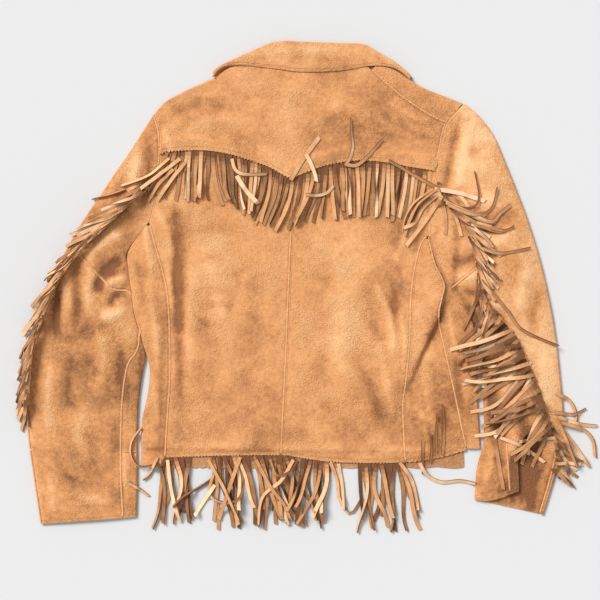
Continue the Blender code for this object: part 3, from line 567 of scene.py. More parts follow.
# Faint rings that something round has left on the back: middle, radius, width and tone
Ring = namedtuple("Ring", "x y radius width tone")
RINGS = [
    Ring(-132, -10, 27, 6, -0.66), Ring(-132, 28, 36, 6, -0.50), Ring(-118, 6, 18, 4, -0.30),
    Ring(-100, 52, 16, 4, -0.24),
]


def stains_and_painted_shade(x, y, node):
    """The listed lighter and darker places of a panel, softened into each other: stains and wear, painted
    shade in hollows and along creases, and rings.
    """
    family = next((name for name in ("sleeve_left", "sleeve_right") if node.startswith(name)), "back")
    broken = 0.9 + 0.3 * cloud(x, y, 11, 21) + 0.3 * cloud(x, y, 5, 22)
    tone = 0.12 * cloud(x, y, 60, 23) + 0.09 * cloud(x, y, 24, 24)
    tone += FAMILY_TONE.get(family, 0)
    for spot in STAIN_AND_SHADE_PATCHES[family]:
        tone += spot.tone * hill(x, y, spot.x, spot.y, spot.radius_x, spot.radius_y) * broken
    for crease in CREASE_SHADE[family]:
        _, off_x, off_y = beside(x, y, (crease.x, crease.y), (crease.to_x, crease.to_y))
        off = np.hypot(off_x, off_y) + 1.5 * cloud(x, y, 14, 27)
        tone += crease.tone * np.exp(-((off / crease.width) ** 2)) * (0.9 + 0.25 * cloud(x, y, 9, 28))
    if family == "back":
        for ring in RINGS:
            off = np.hypot(x - ring.x, y - ring.y) + 4 * cloud(x, y, 12, 25) - ring.radius
            tone += ring.tone * np.exp(-((off / ring.width) ** 2)) * (0.6 + 0.5 * cloud(x, y, 20, 26))
    return tone


class Finish:
    """A material and the nodes that feed its shader."""

    def __init__(self, name, roughness):
        self.made = bpy.data.materials.new(name)
        self.made.use_nodes = True
        self.tree = self.made.node_tree
        self.shader = self.tree.nodes["Principled BSDF"]
        self.shader.inputs["Roughness"].default_value = roughness
        self.shader.inputs["Metallic"].default_value = 0
        self.place = self.node("ShaderNodeTexCoord").outputs["Object"]

    def node(self, kind, **values):
        made = self.tree.nodes.new(kind)
        for key, value in values.items():
            if hasattr(made, key):
                setattr(made, key, value)
            else:
                self.feed(made.inputs[key.replace("_", " ")], value)
        return made

    def feed(self, socket, value):
        if isinstance(value, bpy.types.NodeSocket):
            self.tree.links.new(value, socket)
        else:
            socket.default_value = value

    def noise(self, scale, detail=3.0, roughness=0.55, distortion=0.0):
        made = self.node("ShaderNodeTexNoise", Vector=self.place, Scale=scale, Detail=detail)
        made.inputs["Roughness"].default_value = roughness
        made.inputs["Distortion"].default_value = distortion
        return made.outputs["Fac"]

    def pebbles(self, scale, smooth=0.6):
        made = self.node("ShaderNodeTexVoronoi", feature="SMOOTH_F1", Vector=self.place, Scale=scale)
        made.inputs["Smoothness"].default_value = smooth
        return made.outputs["Distance"]

    def sum(self, first, second, kind="ADD"):
        made = self.node("ShaderNodeMath", operation=kind)
        self.feed(made.inputs[0], first)
        self.feed(made.inputs[1], second)
        return made.outputs[0]

    def scaled(self, value, factor, offset=0.0):
        made = self.node("ShaderNodeMath", operation="MULTIPLY_ADD")
        self.feed(made.inputs[0], value)
        made.inputs[1].default_value = factor
        made.inputs[2].default_value = offset
        return made.outputs[0]

    def attribute(self, name):
        return self.node("ShaderNodeAttribute", attribute_name=name).outputs["Fac"]

    def ramp(self, value, stops):
        made = self.node("ShaderNodeValToRGB", Fac=value)
        bar = made.color_ramp
        while len(bar.elements) < len(stops):
            bar.elements.new(1)
        for element, (place, colour) in zip(bar.elements, stops):
            element.position = place
            element.color = (*colour, 1)
        return made.outputs["Color"]

    def blend(self, share, first, second, kind="MIX"):
        made = self.node("ShaderNodeMix", data_type="RGBA", blend_type=kind)
        self.feed(made.inputs["Factor"], share)
        for label, value in (("A", first), ("B", second)):
            socket = next(s for s in made.inputs if s.name == label and s.type == "RGBA")
            self.feed(socket, value if isinstance(value, bpy.types.NodeSocket) else (*value, 1))
        return next(s for s in made.outputs if s.type == "RGBA")

    def bump(self, layers):
        """Layers of height in metres, each (value, depth)."""
        total = None
        for value, depth in layers:
            layer = self.scaled(value, depth)
            total = layer if total is None else self.sum(total, layer)
        made = self.node("ShaderNodeBump", Height=total, Distance=1.0, Strength=1.0)
        self.feed(self.shader.inputs["Normal"], made.outputs["Normal"])

    def nap(self, weight, roughness, tint):
        """The soft shine of brushed leather, the same all over."""
        self.shader.inputs["Sheen Weight"].default_value = weight
        self.shader.inputs["Sheen Roughness"].default_value = roughness
        self.shader.inputs["Sheen Tint"].default_value = (*tint, 1)
        self.shader.inputs["Specular IOR Level"].default_value = 0.28


def make_buckskin(name, tones, mottle):
    """Smoked, worn deerskin: cloudy colour, pebbled grain, dark specks and rubbed edges, with painted shade
    in hollows and along creases and painted light on fold ridges.
    """
    skin = Finish(name, 0.8)
    wide = skin.noise(9, 4, 0.6, 0.4)
    middle = skin.noise(38, 5, 0.62, 0.3)
    small = skin.noise(170, 4, 0.6)
    hair = skin.noise(900, 3, 0.6)
    pebble = skin.pebbles(430)
    fine = skin.pebbles(860, 0.3)
    worked = skin.ramp(skin.noise(16, 3, 0.5), ((0.40, (0.25, 0.25, 0.25)), (0.62, (1, 1, 1))))
    pebble = skin.sum(pebble, worked, "MULTIPLY")
    cloudy = skin.scaled(wide, 0.55 * mottle, 0.5 - 0.275 * mottle)
    # tone brings stains with painted shade in hollows and along creases; lie brings painted shade in fold
    # troughs and painted light on fold ridges
    for layer in (
        skin.scaled(middle, 0.5 * mottle, -0.25 * mottle), skin.scaled(small, 0.50 * mottle, -0.25 * mottle),
        skin.scaled(skin.attribute("tone"), 0.42), skin.scaled(skin.attribute("lie"), 0.34),
    ):
        cloudy = skin.sum(cloudy, layer)
    colour = skin.ramp(cloudy, ((0.10, tones.dark), (0.5, tones.mid), (0.90, tones.pale)))
    flecks = skin.ramp(skin.noise(240, 2, 0.5), ((0.0, (0, 0, 0)), (0.70, (0, 0, 0)), (0.78, (1, 1, 1))))
    colour = skin.blend(skin.scaled(flecks, 0.38), colour, tuple(0.55 * part for part in tones.dark))
    nubs = skin.sum(pebble, skin.scaled(hair, 0.7))
    grain = skin.ramp(nubs, ((0.35, (1.08, 1.06, 1.04)), (1.0, (0.80, 0.78, 0.76))))
    colour = skin.blend(0.55, colour, grain, "MULTIPLY")
    rubbed = skin.sum(skin.attribute("rubbed"), skin.scaled(small, 1.3, -0.15), "MULTIPLY")
    colour = skin.blend(skin.scaled(rubbed, 0.42), colour, tones.pale)
    skin.feed(skin.shader.inputs["Base Color"], colour)
    dull = skin.sum(cloudy, skin.scaled(pebble, 0.3))
    skin.feed(skin.shader.inputs["Roughness"], skin.scaled(dull, 0.28, 0.62))
    skin.bump([(pebble, 0.0014), (fine, 0.0006), (small, 0.0008), (middle, 0.0024), (hair, 0.0006)])
    skin.nap(0.16, 0.55, tones.pale)
    return skin.made


def make_strand_leather(name, tones):
    """Cut fringe: brushed faces, dark cut edges that are also painted shade between strands, and a change of
    tone from one strand to the next with painted shade at roots and on strands low in the pile.
    """
    skin = Finish(name, 0.85)
    fibre = skin.noise(700, 4, 0.6)
    soft = skin.noise(60, 3, 0.55)
    shade = skin.sum(skin.scaled(soft, 0.5, -0.25), skin.scaled(fibre, 0.22, -0.11))
    # shade: each strand's own tone, less painted shade at its root and on strands lower in the pile
    shade = skin.sum(shade, skin.attribute("shade"))
    colour = skin.ramp(shade, ((0.0, tones.dark), (0.5, tones.mid), (1.0, tones.pale)))
    # cut edges: partly their own dark colour, partly painted shade in the gaps between strands
    edge = tuple(0.36 * part for part in tones.dark)
    colour = skin.blend(skin.scaled(skin.attribute("cut"), 0.86), colour, edge)
    skin.feed(skin.shader.inputs["Base Color"], colour)
    skin.feed(skin.shader.inputs["Roughness"], skin.scaled(fibre, 0.2, 0.72))
    skin.bump([(fibre, 0.0004), (soft, 0.0008)])
    skin.nap(0.2, 0.6, tones.pale)
    return skin.made


def make_thread(name, colour):
    """Waxed sewing thread, twisted."""
    skin = Finish(name, 0.6)
    twist = skin.noise(2600, 2, 0.5)
    shade = skin.ramp(twist, ((0.3, tuple(0.6 * part for part in colour)), (0.7, colour)))
    skin.feed(skin.shader.inputs["Base Color"], shade)
    skin.bump([(twist, 0.0001)])
    return skin.made


BACK_TONES = Tones((0.310, 0.118, 0.040), (0.690, 0.315, 0.122), (0.860, 0.480, 0.225))
SLEEVE_TONES = Tones((0.235, 0.090, 0.032), (0.660, 0.295, 0.110), (0.900, 0.530, 0.270))
INSIDE_TONES = Tones((0.300, 0.130, 0.052), (0.520, 0.250, 0.110), (0.680, 0.380, 0.190))
RUBBED_TONES = Tones((0.440, 0.190, 0.072), (0.760, 0.390, 0.170), (0.880, 0.540, 0.280))
FRINGE_TONES = Tones((0.160, 0.060, 0.022), (0.640, 0.310, 0.132), (0.960, 0.700, 0.440))

buckskin = make_buckskin("smoked_buckskin", BACK_TONES, 1.0)
sleeve_buckskin = make_buckskin("smoked_buckskin_sleeve", SLEEVE_TONES, 1.05)
buckskin_inside = make_buckskin("buckskin_inside", INSIDE_TONES, 0.8)
rubbed_buckskin = make_buckskin("rubbed_seam_buckskin", RUBBED_TONES, 0.7)
fringe_leather = make_strand_leather("cut_fringe_buckskin", FRINGE_TONES)
thread = make_thread("waxed_thread", (0.46, 0.20, 0.075))


# Making a shell from rows of points

panels = {}  # each finished panel by the name of its CAD solid


def keep_attribute(mesh, name, values):
    made = mesh.attributes.new(name, "FLOAT", "POINT")
    made.data.foreach_set("value", np.asarray(values, np.float32).ravel())


def select_only(piece):
    bpy.ops.object.select_all(action="DESELECT")
    bpy.context.view_layer.objects.active = piece
    piece.select_set(True)


def add_object(name, data):
    made = bpy.data.objects.new(name, data)
    bpy.context.scene.collection.objects.link(made)
    return made


def gathered(steps, axis=0):
    """The way gone after each step, from 0."""
    return np.insert(np.cumsum(steps, axis=axis), 0, 0, axis=axis)


def way_along(x, y):
    """The way gone along a line in plan at each of its places."""
    return gathered(np.hypot(np.diff(x), np.diff(y)))


def skin_mesh(name, x, y, z):
    """A mesh on a grid of points, its highest face looking up."""
    count, width = x.shape
    points = np.stack([x, y, z], -1).reshape(-1, 3) * MM
    low = (np.arange(count - 1)[:, None] * width + np.arange(width - 1)[None, :]).ravel()
    faces = np.stack([low, low + width, low + width + 1, low + 1], -1)
    mesh = bpy.data.meshes.new(name)
    mesh.from_pydata(points.tolist(), [], faces.tolist())
    highest = max(mesh.polygons, key=lambda face: face.center.z + 0.001 * abs(face.normal.z))
    if highest.normal.z < 0:
        mesh.flip_normals()
    return mesh


def border_of(x, y, z):
    """Each point's way to the nearest edge of its panel, along its own row or column."""
    points = np.stack([x, y, z], -1)
    down, across = (gathered(np.linalg.norm(np.diff(points, axis=axis), axis=-1), axis) for axis in (0, 1))
    return np.minimum(np.minimum(down, down[-1] - down), np.minimum(across, across[:, -1:] - across))


def leather(node, x, y, z, skin, thickness=LEATHER, fold_shade=None):
    """A panel in the place of its CAD solid, which it hides: a skin with a wall, hung on the root."""
    mesh = skin_mesh(node, x, y, z)
    edge = border_of(x, y, z)
    # lie: painted shade in the folds' troughs and painted light on their ridges, by their height
    lie = np.zeros_like(x) if fold_shade is None else fold_shade
    keep_attribute(mesh, "rubbed", np.exp(-edge / RUBBED_WIDTH))
    keep_attribute(mesh, "lie", lie)
    # tone: stains and wear, with painted shade in hollows and along creases
    keep_attribute(mesh, "tone", stains_and_painted_shade(x, y, node))
    piece = add_object("leather_" + node, mesh)
    select_only(piece)
    wall = piece.modifiers.new("Wall", "SOLIDIFY")
    wall.thickness = thickness * MM
    wall.offset = -1
    bpy.ops.object.modifier_apply(modifier="Wall")
    bpy.ops.object.shade_smooth_by_angle(angle=math.radians(50))
    piece.data.materials.append(skin)
    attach(piece, "root")
    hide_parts(node)
    panels[node] = piece
    return piece


def roll_off(edge):
    """How far a panel has dropped into its seam, at a way in from it."""
    return SEAM_DROP * (1 - ease(edge / SEAM_ROLL)) ** 1.5


def spaced(width, pitch=PITCH):
    """Shares across a panel, closer together where it rolls into its seams."""
    shares = np.linspace(0, 1, max(int(round(width / pitch)), 4) + 1)
    near = np.array([0.7, 1.5]) / width
    return with_more(shares, *near, *(1 - near))


def with_more(shares, *more):
    """Even shares with a few more among them, in order."""
    return np.unique(np.concatenate([shares, more]))


def between(lower, upper, left, right, shares, levels):
    """The plan of a panel between two seams and two outlines, the top row first."""
    share, level = np.meshgrid(shares, levels[::-1])
    x = mix(left(np.zeros_like(share)), right(np.zeros_like(share)), share)
    for _ in range(5):
        y = mix(lower(x), upper(x), level)
        x = mix(left(y) + SEAM, right(y) - SEAM, share)
    return x, y, share, level


def pinked(x, y, row, outward=-1):
    """Cuts teeth along one row: every other column stands out."""
    wave = np.abs(((way_along(x[row], y[row]) / (2 * PITCH)) % 1) - 0.5) * 4 - 1
    y[row] += outward * wave * TOOTH / 2
    return y


def seam_ways(x, y):
    """The way in from the left and the right seam, along each row."""
    across = gathered(np.hypot(np.diff(x, axis=1), np.diff(y, axis=1)), 1)
    return across, across[:, -1:] - across


# Body panels

SNUG_LEFT = 1.9  # how far the body's edge and the sleeve's press towards each other above the elbows
SNUG_RIGHT = 3.3
SNUG_FROM_LEFT = -92.0
SNUG_FROM_RIGHT = -90.0
SNUG_RUN = 26.0


def snug(side, y):
    """side is -1 at the left and 1 at the right."""
    most, start = (SNUG_LEFT, SNUG_FROM_LEFT) if side < 0 else (SNUG_RIGHT, SNUG_FROM_RIGHT)
    return most * ease((y - start) / SNUG_RUN)


def back_top(x):
    return y_of(YOKE_EDGE, x) + UNDERLAP


def back_hem(x):
    return y_of(BACK_HEM, x)


def centre_back(y):
    return x_of(CENTRE_BACK, y)


LEFT_ARMPIT, RIGHT_ARMPIT = 117.0, 97.5
HEM_DROP = 0.9  # how far the back sinks along its hem


def left_of_back(y):
    return np.where(y > LEFT_ARMPIT, x_of(ARMHOLE_LEFT, y), x_of(PRINCESS_LEFT, y))


def right_of_back(y):
    return np.where(y > RIGHT_ARMPIT, x_of(ARMHOLE_RIGHT, y), x_of(PRINCESS_RIGHT, y))


def back_panel(node, lower, upper, left, right, width, height):
    levels = with_more(np.linspace(0, 1, int(height / PITCH)), 0.003, 0.006)
    x, y, _, _ = between(lower, upper, left, right, spaced(width), levels)
    y = pinked(x, y, -1)
    from_left, from_right = seam_ways(x, y)
    z = back_height(x, y) - roll_off(from_left) - roll_off(from_right)
    z = z - HEM_DROP * (1 - ease((y - back_hem(x)) / 9))
    # painted shade and light by the folds' height
    fold_shade = wrinkles(x, y, BODY_FOLDS) / 3
    return leather(node, x, y, z, buckskin, fold_shade=fold_shade)


def make_back():
    back_panel(
        "back_centre_left", back_hem, back_top, left_of_back, centre_back, 190, 460
    )
    back_panel(
        "back_centre_right", back_hem, back_top, centre_back, right_of_back, 200, 460
    )
    back_panel(
        "back_side_right", back_hem, lambda x: np.full_like(x, 92.0),
        lambda y: x_of(PRINCESS_RIGHT, y), lambda y: x_of(SIDE_SEAM, y), 80, 330,
    )


def make_yoke():
    levels = with_more(np.linspace(0, 1, 62), 0.006, 0.012, 0.025, 0.93, 0.96, 0.975, 0.985, 0.993)
    x, y, _, _ = between(
        lambda x: y_of(YOKE_EDGE, x), lambda x: y_of(YOKE_TOP, x),
        lambda y: x_of(ARMHOLE_LEFT, y), lambda y: x_of(ARMHOLE_RIGHT, np.minimum(y, 266)),
        spaced(430), levels,
    )
    y = pinked(x, y, -1)
    from_left, from_right = seam_ways(x, y)
    z = yoke_height(x, y) - roll_off(from_left) - roll_off(from_right)
    z = z - np.where(x > SHOULDER_END, 1 - ease((y_of(YOKE_TOP, x) - y) / 3), 0)
    fold_shade = wrinkles(x, y, BODY_FOLDS) / 3
    leather("back_yoke", x, y, z, buckskin, fold_shade=fold_shade)


def make_shoulder():
    shares = with_more(np.linspace(0.01, 1, 18), 0.9, 0.93, 0.96, 0.98)[::-1]
    share, at = np.meshgrid(shares, np.linspace(0, 1, 60), indexing="ij")
    lines = smooth_run(SHOULDER_RIGHT, at * (len(SHOULDER_RIGHT) - 1))
    from_x, from_y, to_x, to_y = np.moveaxis(lines, -1, 0)
    x, y = mix(from_x, to_x, share), mix(from_y, to_y, share) + SEAM
    x = np.minimum(x, x_of(ARMHOLE_RIGHT, y) - 2 * SEAM)
    length = np.hypot(to_x - from_x, to_y - from_y)
    z = shoulder_height(x, y, (1 - share) * length) - 0.8 * (1 - ease(share * length / 3))
    fold_shade = wrinkles(x, y, BODY_FOLDS) / 3
    leather("front_shoulder_right", x, y, z, buckskin, fold_shade=fold_shade)


def turned_under(below_armpit):
    return np.maximum(SIDE_UNDER * ease(below_armpit / UNDER_FADE), UNDER_LEAST)


def side_panel(node, seam, edge_line, armpit, top, bottom, side):
    """A panel over the upper side from a seam, round the folded edge and under. side is -1 at the left."""
    level = np.linspace(0, 1, 130)
    y = mix(top, bottom, level)[:, None]
    under = turned_under(armpit - y)
    edge = x_of(edge_line, y) + side * snug(side, y)
    start = x_of(seam, y) + side * SEAM
    radius = LAID / 2
    centre = edge - side * radius
    over = spaced(45)[None, :-1]
    x_over = mix(start, centre, over)
    calm = ease((1 - over) / 0.25)
    y_over = np.repeat(y, x_over.shape[1], axis=1)
    bumps = np.maximum(wrinkles(x_over, y_over, BODY_FOLDS), DEEPEST) * calm
    z_over = LAID + bumps - roll_off(np.abs(x_over - start))
    angle = math.pi * (0.5 - np.linspace(0, 1, 12))[None, :]
    x_round = centre + side * radius * np.cos(angle)
    z_round = np.repeat(radius + radius * np.sin(angle), len(level), axis=0)
    shares = np.linspace(0.25, 1, 6)[None, :]
    x_under = mix(centre, centre - side * (under - radius), shares)
    z_under = 0.35 * np.abs(cloud(x_under, np.repeat(y, 6, axis=1), 20, 6))
    x = np.concatenate([x_over, x_round, x_under], axis=1)
    z = np.concatenate([z_over, z_round, z_under], axis=1)
    y = np.repeat(y, x.shape[1], axis=1).copy()
    fold_shade = np.concatenate([bumps / 3, np.zeros((len(level), 18))], axis=1)
    leather(node, x, y, z, buckskin, fold_shade=fold_shade)


def make_sides():
    side_panel("back_side_left", PRINCESS_LEFT, EDGE_LEFT, 117, 112, -249, -1)
    side_panel("front_side_right", SIDE_SEAM, EDGE_RIGHT, 97, 90, -223, 1)


def make_fronts():
    def left(y):
        inside = x_of(EDGE_LEFT, y) + turned_under(LEFT_ARMPIT - y) + 4 * SEAM
        return np.where(y > 124, x_of(ARMHOLE_LEFT, y), inside)

    def right(y):
        inside = x_of(EDGE_RIGHT, y) - turned_under(97 - y) - 3 * SEAM
        return np.where(y > 104, x_of(ARMHOLE_RIGHT, y), inside)

    def centre(y):
        return x_of(CENTRE_FRONT, y)

    def lower(x):
        return np.full_like(x, FRONT_HEM)

    levels = np.linspace(0, 1, 130)
    x, y, _, _ = between(lower, lambda x: y_of(FRONT_TOP_LEFT, x), left, centre, spaced(215, 4), levels)
    y = pinked(x, y, -1)
    leather("front_left", x, y, front_height(x, y), buckskin_inside)
    x, y, _, _ = between(lower, lambda x: y_of(FRONT_TOP_RIGHT, x), centre, right, spaced(240, 4), levels)
    y = pinked(x, y, -1)
    leather("front_right", x, y, front_height(x, y), buckskin_inside)


def make_edge_strip():
    y = np.repeat(np.linspace(-34, -82, 21)[:, None], 7, axis=1).copy()
    edge = x_of(EDGE_RIGHT, y) + SEAM
    x = edge + np.linspace(0, 6, 7)[None, :]
    tooth = np.where(np.arange(21) % 2 == 0, 1.2, -1.2)
    x[:, -1] += tooth
    z = LEATHER + 0 * x
    leather("front_edge_strip_right", x, y, z, fringe_leather)


# Collar


def make_collar():
    at = np.linspace(0, len(COLLAR) - 1, 170)
    lines = smooth_run(COLLAR, at)
    stand = np.interp(at, np.arange(len(COLLAR)), COLLAR_STAND)
    length = np.hypot(lines[:, 2] - lines[:, 0], lines[:, 3] - lines[:, 1])
    top = COLLAR_FLOOR + 2 * COLLAR_ROLL
    roll = np.minimum(COLLAR_ROLL, length * 0.45)
    rows = []
    for share in with_more(np.linspace(0, 1, 14), 0.03, 0.07)[::-1]:
        back = mix(roll, length, share)
        sag = top + COLLAR_CROWN - COLLAR_SAG * share**3 - COLLAR_CROWN * (1 - share) ** 3
        rows.append((back, sag - COLLAR_LIP * (share > 0.98)))
    for turn in np.linspace(0, 1, 14):
        angle = math.pi * (0.5 - turn)
        height = COLLAR_FLOOR + COLLAR_ROLL * (1 + math.sin(angle))
        rows.append((roll * (1 - math.cos(angle)), height + 0 * at))
    for share in np.linspace(0.2, 1, 5):
        rows.append((roll + np.maximum(stand - roll, 0.4) * share, COLLAR_FLOOR + 0 * at))
    back = np.stack([row[0] for row in rows])
    height = np.stack([np.broadcast_to(row[1], at.shape) for row in rows])
    part = back / length
    x = mix(lines[:, 2], lines[:, 0], part)
    y = mix(lines[:, 3], lines[:, 1], part)
    seen = (height > COLLAR_FLOOR + COLLAR_ROLL).astype(float)
    soft = (0.5 * cloud(x, y, 24, 11) + 0.3 * cloud(x, y, 10, 12) + fold_heights(COLLAR_FOLDS, x, y)) * seen
    leather(
        "collar", x, y, height + soft, buckskin,
        thickness=COLLAR_WALL, fold_shade=soft / 2,
    )
    for name, lines in (("collar_wing_left", WING_LEFT), ("collar_wing_right", WING_RIGHT)):
        share, at = np.meshgrid(np.linspace(0, 1, 24), np.linspace(0, 3, 60), indexing="ij")
        from_x, from_y, to_x, to_y = np.moveaxis(smooth_run(lines, at), -1, 0)
        x, y = mix(from_x, to_x, share), mix(from_y, to_y, share)
        leather(name, x, y, LEATHER + 0 * x, buckskin_inside)


COLLAR_FOLDS = [
    Fold(((-90, 357), (-40, 364), (20, 362), (90, 360)), 4, -0.7),
    Fold(((-60, 372), (0, 376), (60, 374)), 6, 0.6),
    Fold(((96, 372), (116, 362), (136, 352)), 5, -0.7),
    Fold(((-112, 350), (-92, 360), (-76, 368)), 5, -0.6),
]


# Sleeves


def turn_of(width_share):
    """The place round a sleeve's ring for a share of its laid width."""
    width_share = np.asarray(width_share, float)
    full = np.floor(width_share)
    part = width_share - full
    middle = mix(ROLL_SHARE, 1 - ROLL_SHARE, (part - ROLL_WIDTH) / (1 - 2 * ROLL_WIDTH))
    turn = np.where(part < ROLL_WIDTH, ROLL_SHARE * part / ROLL_WIDTH, middle)
    return full + np.where(part > 1 - ROLL_WIDTH, 1 - ROLL_SHARE * (1 - part) / ROLL_WIDTH, turn)


def sleeve_points(stations, armhole, folds, at, turn, lift=0.0):
    """Points on a sleeve: turn 0 is the outer fold, 1 the inner fold and 2 the outer fold again."""
    outer_x, outer_y, inner_x, inner_y, crown, fold, *_ = np.moveaxis(smooth_run(stations, at), -1, 0)
    side = math.copysign(1, stations[0].outer_x)
    inner_x = inner_x - side * snug(side, inner_y)
    turn = turn % 2
    lower = turn > 1
    part = np.where(lower, 2 - turn, turn)
    width = np.hypot(inner_x - outer_x, inner_y - outer_y)
    at_fold = (part < ROLL_SHARE) | (part > 1 - ROLL_SHARE)
    angle = math.pi / 2 * np.clip(np.minimum(part, 1 - part) / ROLL_SHARE, 0, 1)
    depth = fold - (fold + lift) * np.cos(angle)
    middle = np.clip((part - ROLL_SHARE) / (1 - 2 * ROLL_SHARE), 0, 1)
    reach = np.where(at_fold, np.where(part < 0.5, depth, width - depth), mix(fold, width - fold, middle))
    crowned = np.where(lower, 0, (crown - 2 * fold) * np.sin(math.pi * middle) ** 0.8)
    rise = np.where(at_fold, (fold + lift) * np.sin(angle), fold + lift + crowned)
    share = reach / width
    x, y = mix(outer_x, inner_x, share), mix(outer_y, inner_y, share)
    curve = smooth_run(armhole, np.clip(share, 0, 1) * (len(armhole) - 1))
    fade = np.clip(1 - at / ARMHOLE_REACH, 0, 1) ** 2
    x = x + (curve[..., 0] - mix(armhole[0].x, armhole[-1].x, share)) * fade
    y = y + (curve[..., 1] - mix(armhole[0].y, armhole[-1].y, share)) * fade
    calm = np.where(at_fold, 0, np.sin(math.pi * middle) ** 0.35)
    bumps = wrinkles(x, y, folds) * calm
    room = crowned + fold - 2 * LEATHER
    upper = fold + rise + np.maximum(bumps, -room * 0.8)
    beneath = np.maximum(fold - rise, 0) + np.where(at_fold, 0, 0.5 * np.abs(cloud(x, y, 30, 14)))
    # the last is painted shade and light by the folds' height
    return x, y, np.where(lower, beneath, upper), np.where(lower, 0, bumps / 3)


def sleeve_panel(node, stations, armhole, folds, ends, seams, flat, area, skin=None):
    """A panel of a sleeve. ends gives its first and last station at a turn, seams its turns at a station."""
    first, last = (float(edge) for edge in ends(np.array(0.5)))
    count = int((last - first) / SLEEVE_STEP) + 2
    level = with_more(np.linspace(0, 1, count), 0.006, 0.015, 0.985, 0.994)
    span = float(np.ptp(seams(np.array((first + last) / 2))))
    width = 240 if span > 1 else 150 * span
    share = spaced(max(width, 60), 2.8)
    share, level = np.meshgrid(share, level)
    at = mix(first, last, level)
    for _ in range(3):
        turn = mix(*seams(at), share)
        at = mix(*ends(turn), level)
    x, y, z, fold_shade = sleeve_points(stations, armhole, folds, at, turn)
    edge = border_of(x, y, z)
    part = np.minimum(turn % 1, 1 - turn % 1)
    sink = roll_off(edge) * ease((part - 0.02) / 0.1) * (turn % 2 < 1)
    return leather(node, x, y, np.maximum(z - sink, 0), skin or sleeve_buckskin, fold_shade=fold_shade)


def straight_ends(first, last):
    """The ends of a panel that is cut straight across: the same stations at every turn."""
    return lambda turn: (first + 0 * turn, last + 0 * turn)


def make_left_sleeve():
    def hind(at):
        return turn_of(smooth_run(SLEEVE_LEFT, at)[..., 6])

    def fore(at):
        return turn_of(smooth_run(SLEEVE_LEFT, at)[..., 7])

    def elbow(turn):
        return ELBOW_LEFT - ELBOW_LEFT_RISE * ease((turn - 0.6) / 0.3)

    def under(at):
        return hind(at) + GAP_TURN, fore(at) - GAP_TURN

    def top(at):
        return fore(at) + GAP_TURN, 2 + hind(at) - GAP_TURN

    last = len(SLEEVE_LEFT) - 1.0
    place = SLEEVE_LEFT, ARMHOLE_LEFT, LEFT_SLEEVE_FOLDS
    sleeve_panel(
        "sleeve_left_under_upper", *place,
        lambda turn: (GAP_ARMHOLE + 0 * turn, elbow(turn) - GAP_STATION), under, (0.105, 0.165), 0.0085,
    )
    sleeve_panel(
        "sleeve_left_under_lower", *place,
        lambda turn: (elbow(turn) + GAP_STATION, last + 0 * turn), under, (0.160, 0.380), 0.0500,
    )
    sleeve_panel(
        "sleeve_left_top", *place,
        straight_ends(GAP_ARMHOLE, PIECING_LEFT - GAP_STATION), top, (0.200, 0.560), 0.0750,
    )
    sleeve_panel(
        "sleeve_left_top_cuff", *place,
        straight_ends(PIECING_LEFT + GAP_STATION, last), top, (0.190, 0.115), 0.0192,
    )


def make_right_sleeve():
    def hind(at):
        return turn_of(smooth_run(SLEEVE_RIGHT, at)[..., 6])

    def vent(at):
        station = smooth_run(SLEEVE_RIGHT, at)
        return turn_of(np.maximum(station[..., 8], station[..., 6]))

    def fore(at):
        return turn_of(smooth_run(SLEEVE_RIGHT, at)[..., 7])

    def under(at):
        return vent(at) + GAP_TURN, fore(at) - GAP_TURN

    def top(at):
        return fore(at) + GAP_TURN, 2 + hind(at) - GAP_TURN

    last = len(SLEEVE_RIGHT) - 1.0
    place = SLEEVE_RIGHT, ARMHOLE_RIGHT, RIGHT_SLEEVE_FOLDS

    def under_end(turn):
        return last - CUFF_SHORT * ease((0.9 - turn) / 0.6)

    sleeve_panel(
        "sleeve_right_under_upper", *place,
        straight_ends(GAP_ARMHOLE, ELBOW_RIGHT - GAP_STATION), under, (0.100, 0.180), 0.0089,
    )
    sleeve_panel(
        "sleeve_right_under_lower", *place,
        lambda turn: (ELBOW_RIGHT + GAP_STATION + 0 * turn, under_end(turn)), under, (0.120, 0.370), 0.0285,
    )
    sleeve_panel(
        "sleeve_right_top", *place,
        straight_ends(GAP_ARMHOLE, PIECING_RIGHT - GAP_STATION), top, (0.270, 0.470), 0.0870,
    )
    sleeve_panel(
        "sleeve_right_top_cuff", *place,
        straight_ends(PIECING_RIGHT + GAP_STATION, last), top, (0.170, 0.160), 0.0165,
    )


# The surface that strands, ridges and stitches lie on

CELL = 1.5
WEST, SOUTH = -480.0, -380.0
COLUMNS, ROWS = 640, 540
FAR_ABOVE = 0.2


def read_tops(pieces):
    """The height of the highest leather over each cell of the floor."""
    points, faces = [], []
    for piece in pieces:
        start = len(points)
        points += [tuple(vertex.co) for vertex in piece.data.vertices]
        faces += [tuple(start + corner for corner in face.vertices) for face in piece.data.polygons]
    tree = BVHTree.FromPolygons(points, faces)
    down = Vector((0, 0, -1))
    tops = np.zeros((COLUMNS, ROWS))
    for column in range(COLUMNS):
        x = (WEST + (column + 0.5) * CELL) * MM
        for row in range(ROWS):
            hit = tree.ray_cast(Vector((x, (SOUTH + (row + 0.5) * CELL) * MM, FAR_ABOVE)), down)[0]
            if hit:
                tops[column, row] = hit.z / MM
    return tops


def cell_of(x, y):
    column = np.clip(((x - WEST) / CELL).astype(int), 0, COLUMNS - 1)
    row = np.clip(((y - SOUTH) / CELL).astype(int), 0, ROWS - 1)
    return column, row


# One strand, modelled once and laid many times

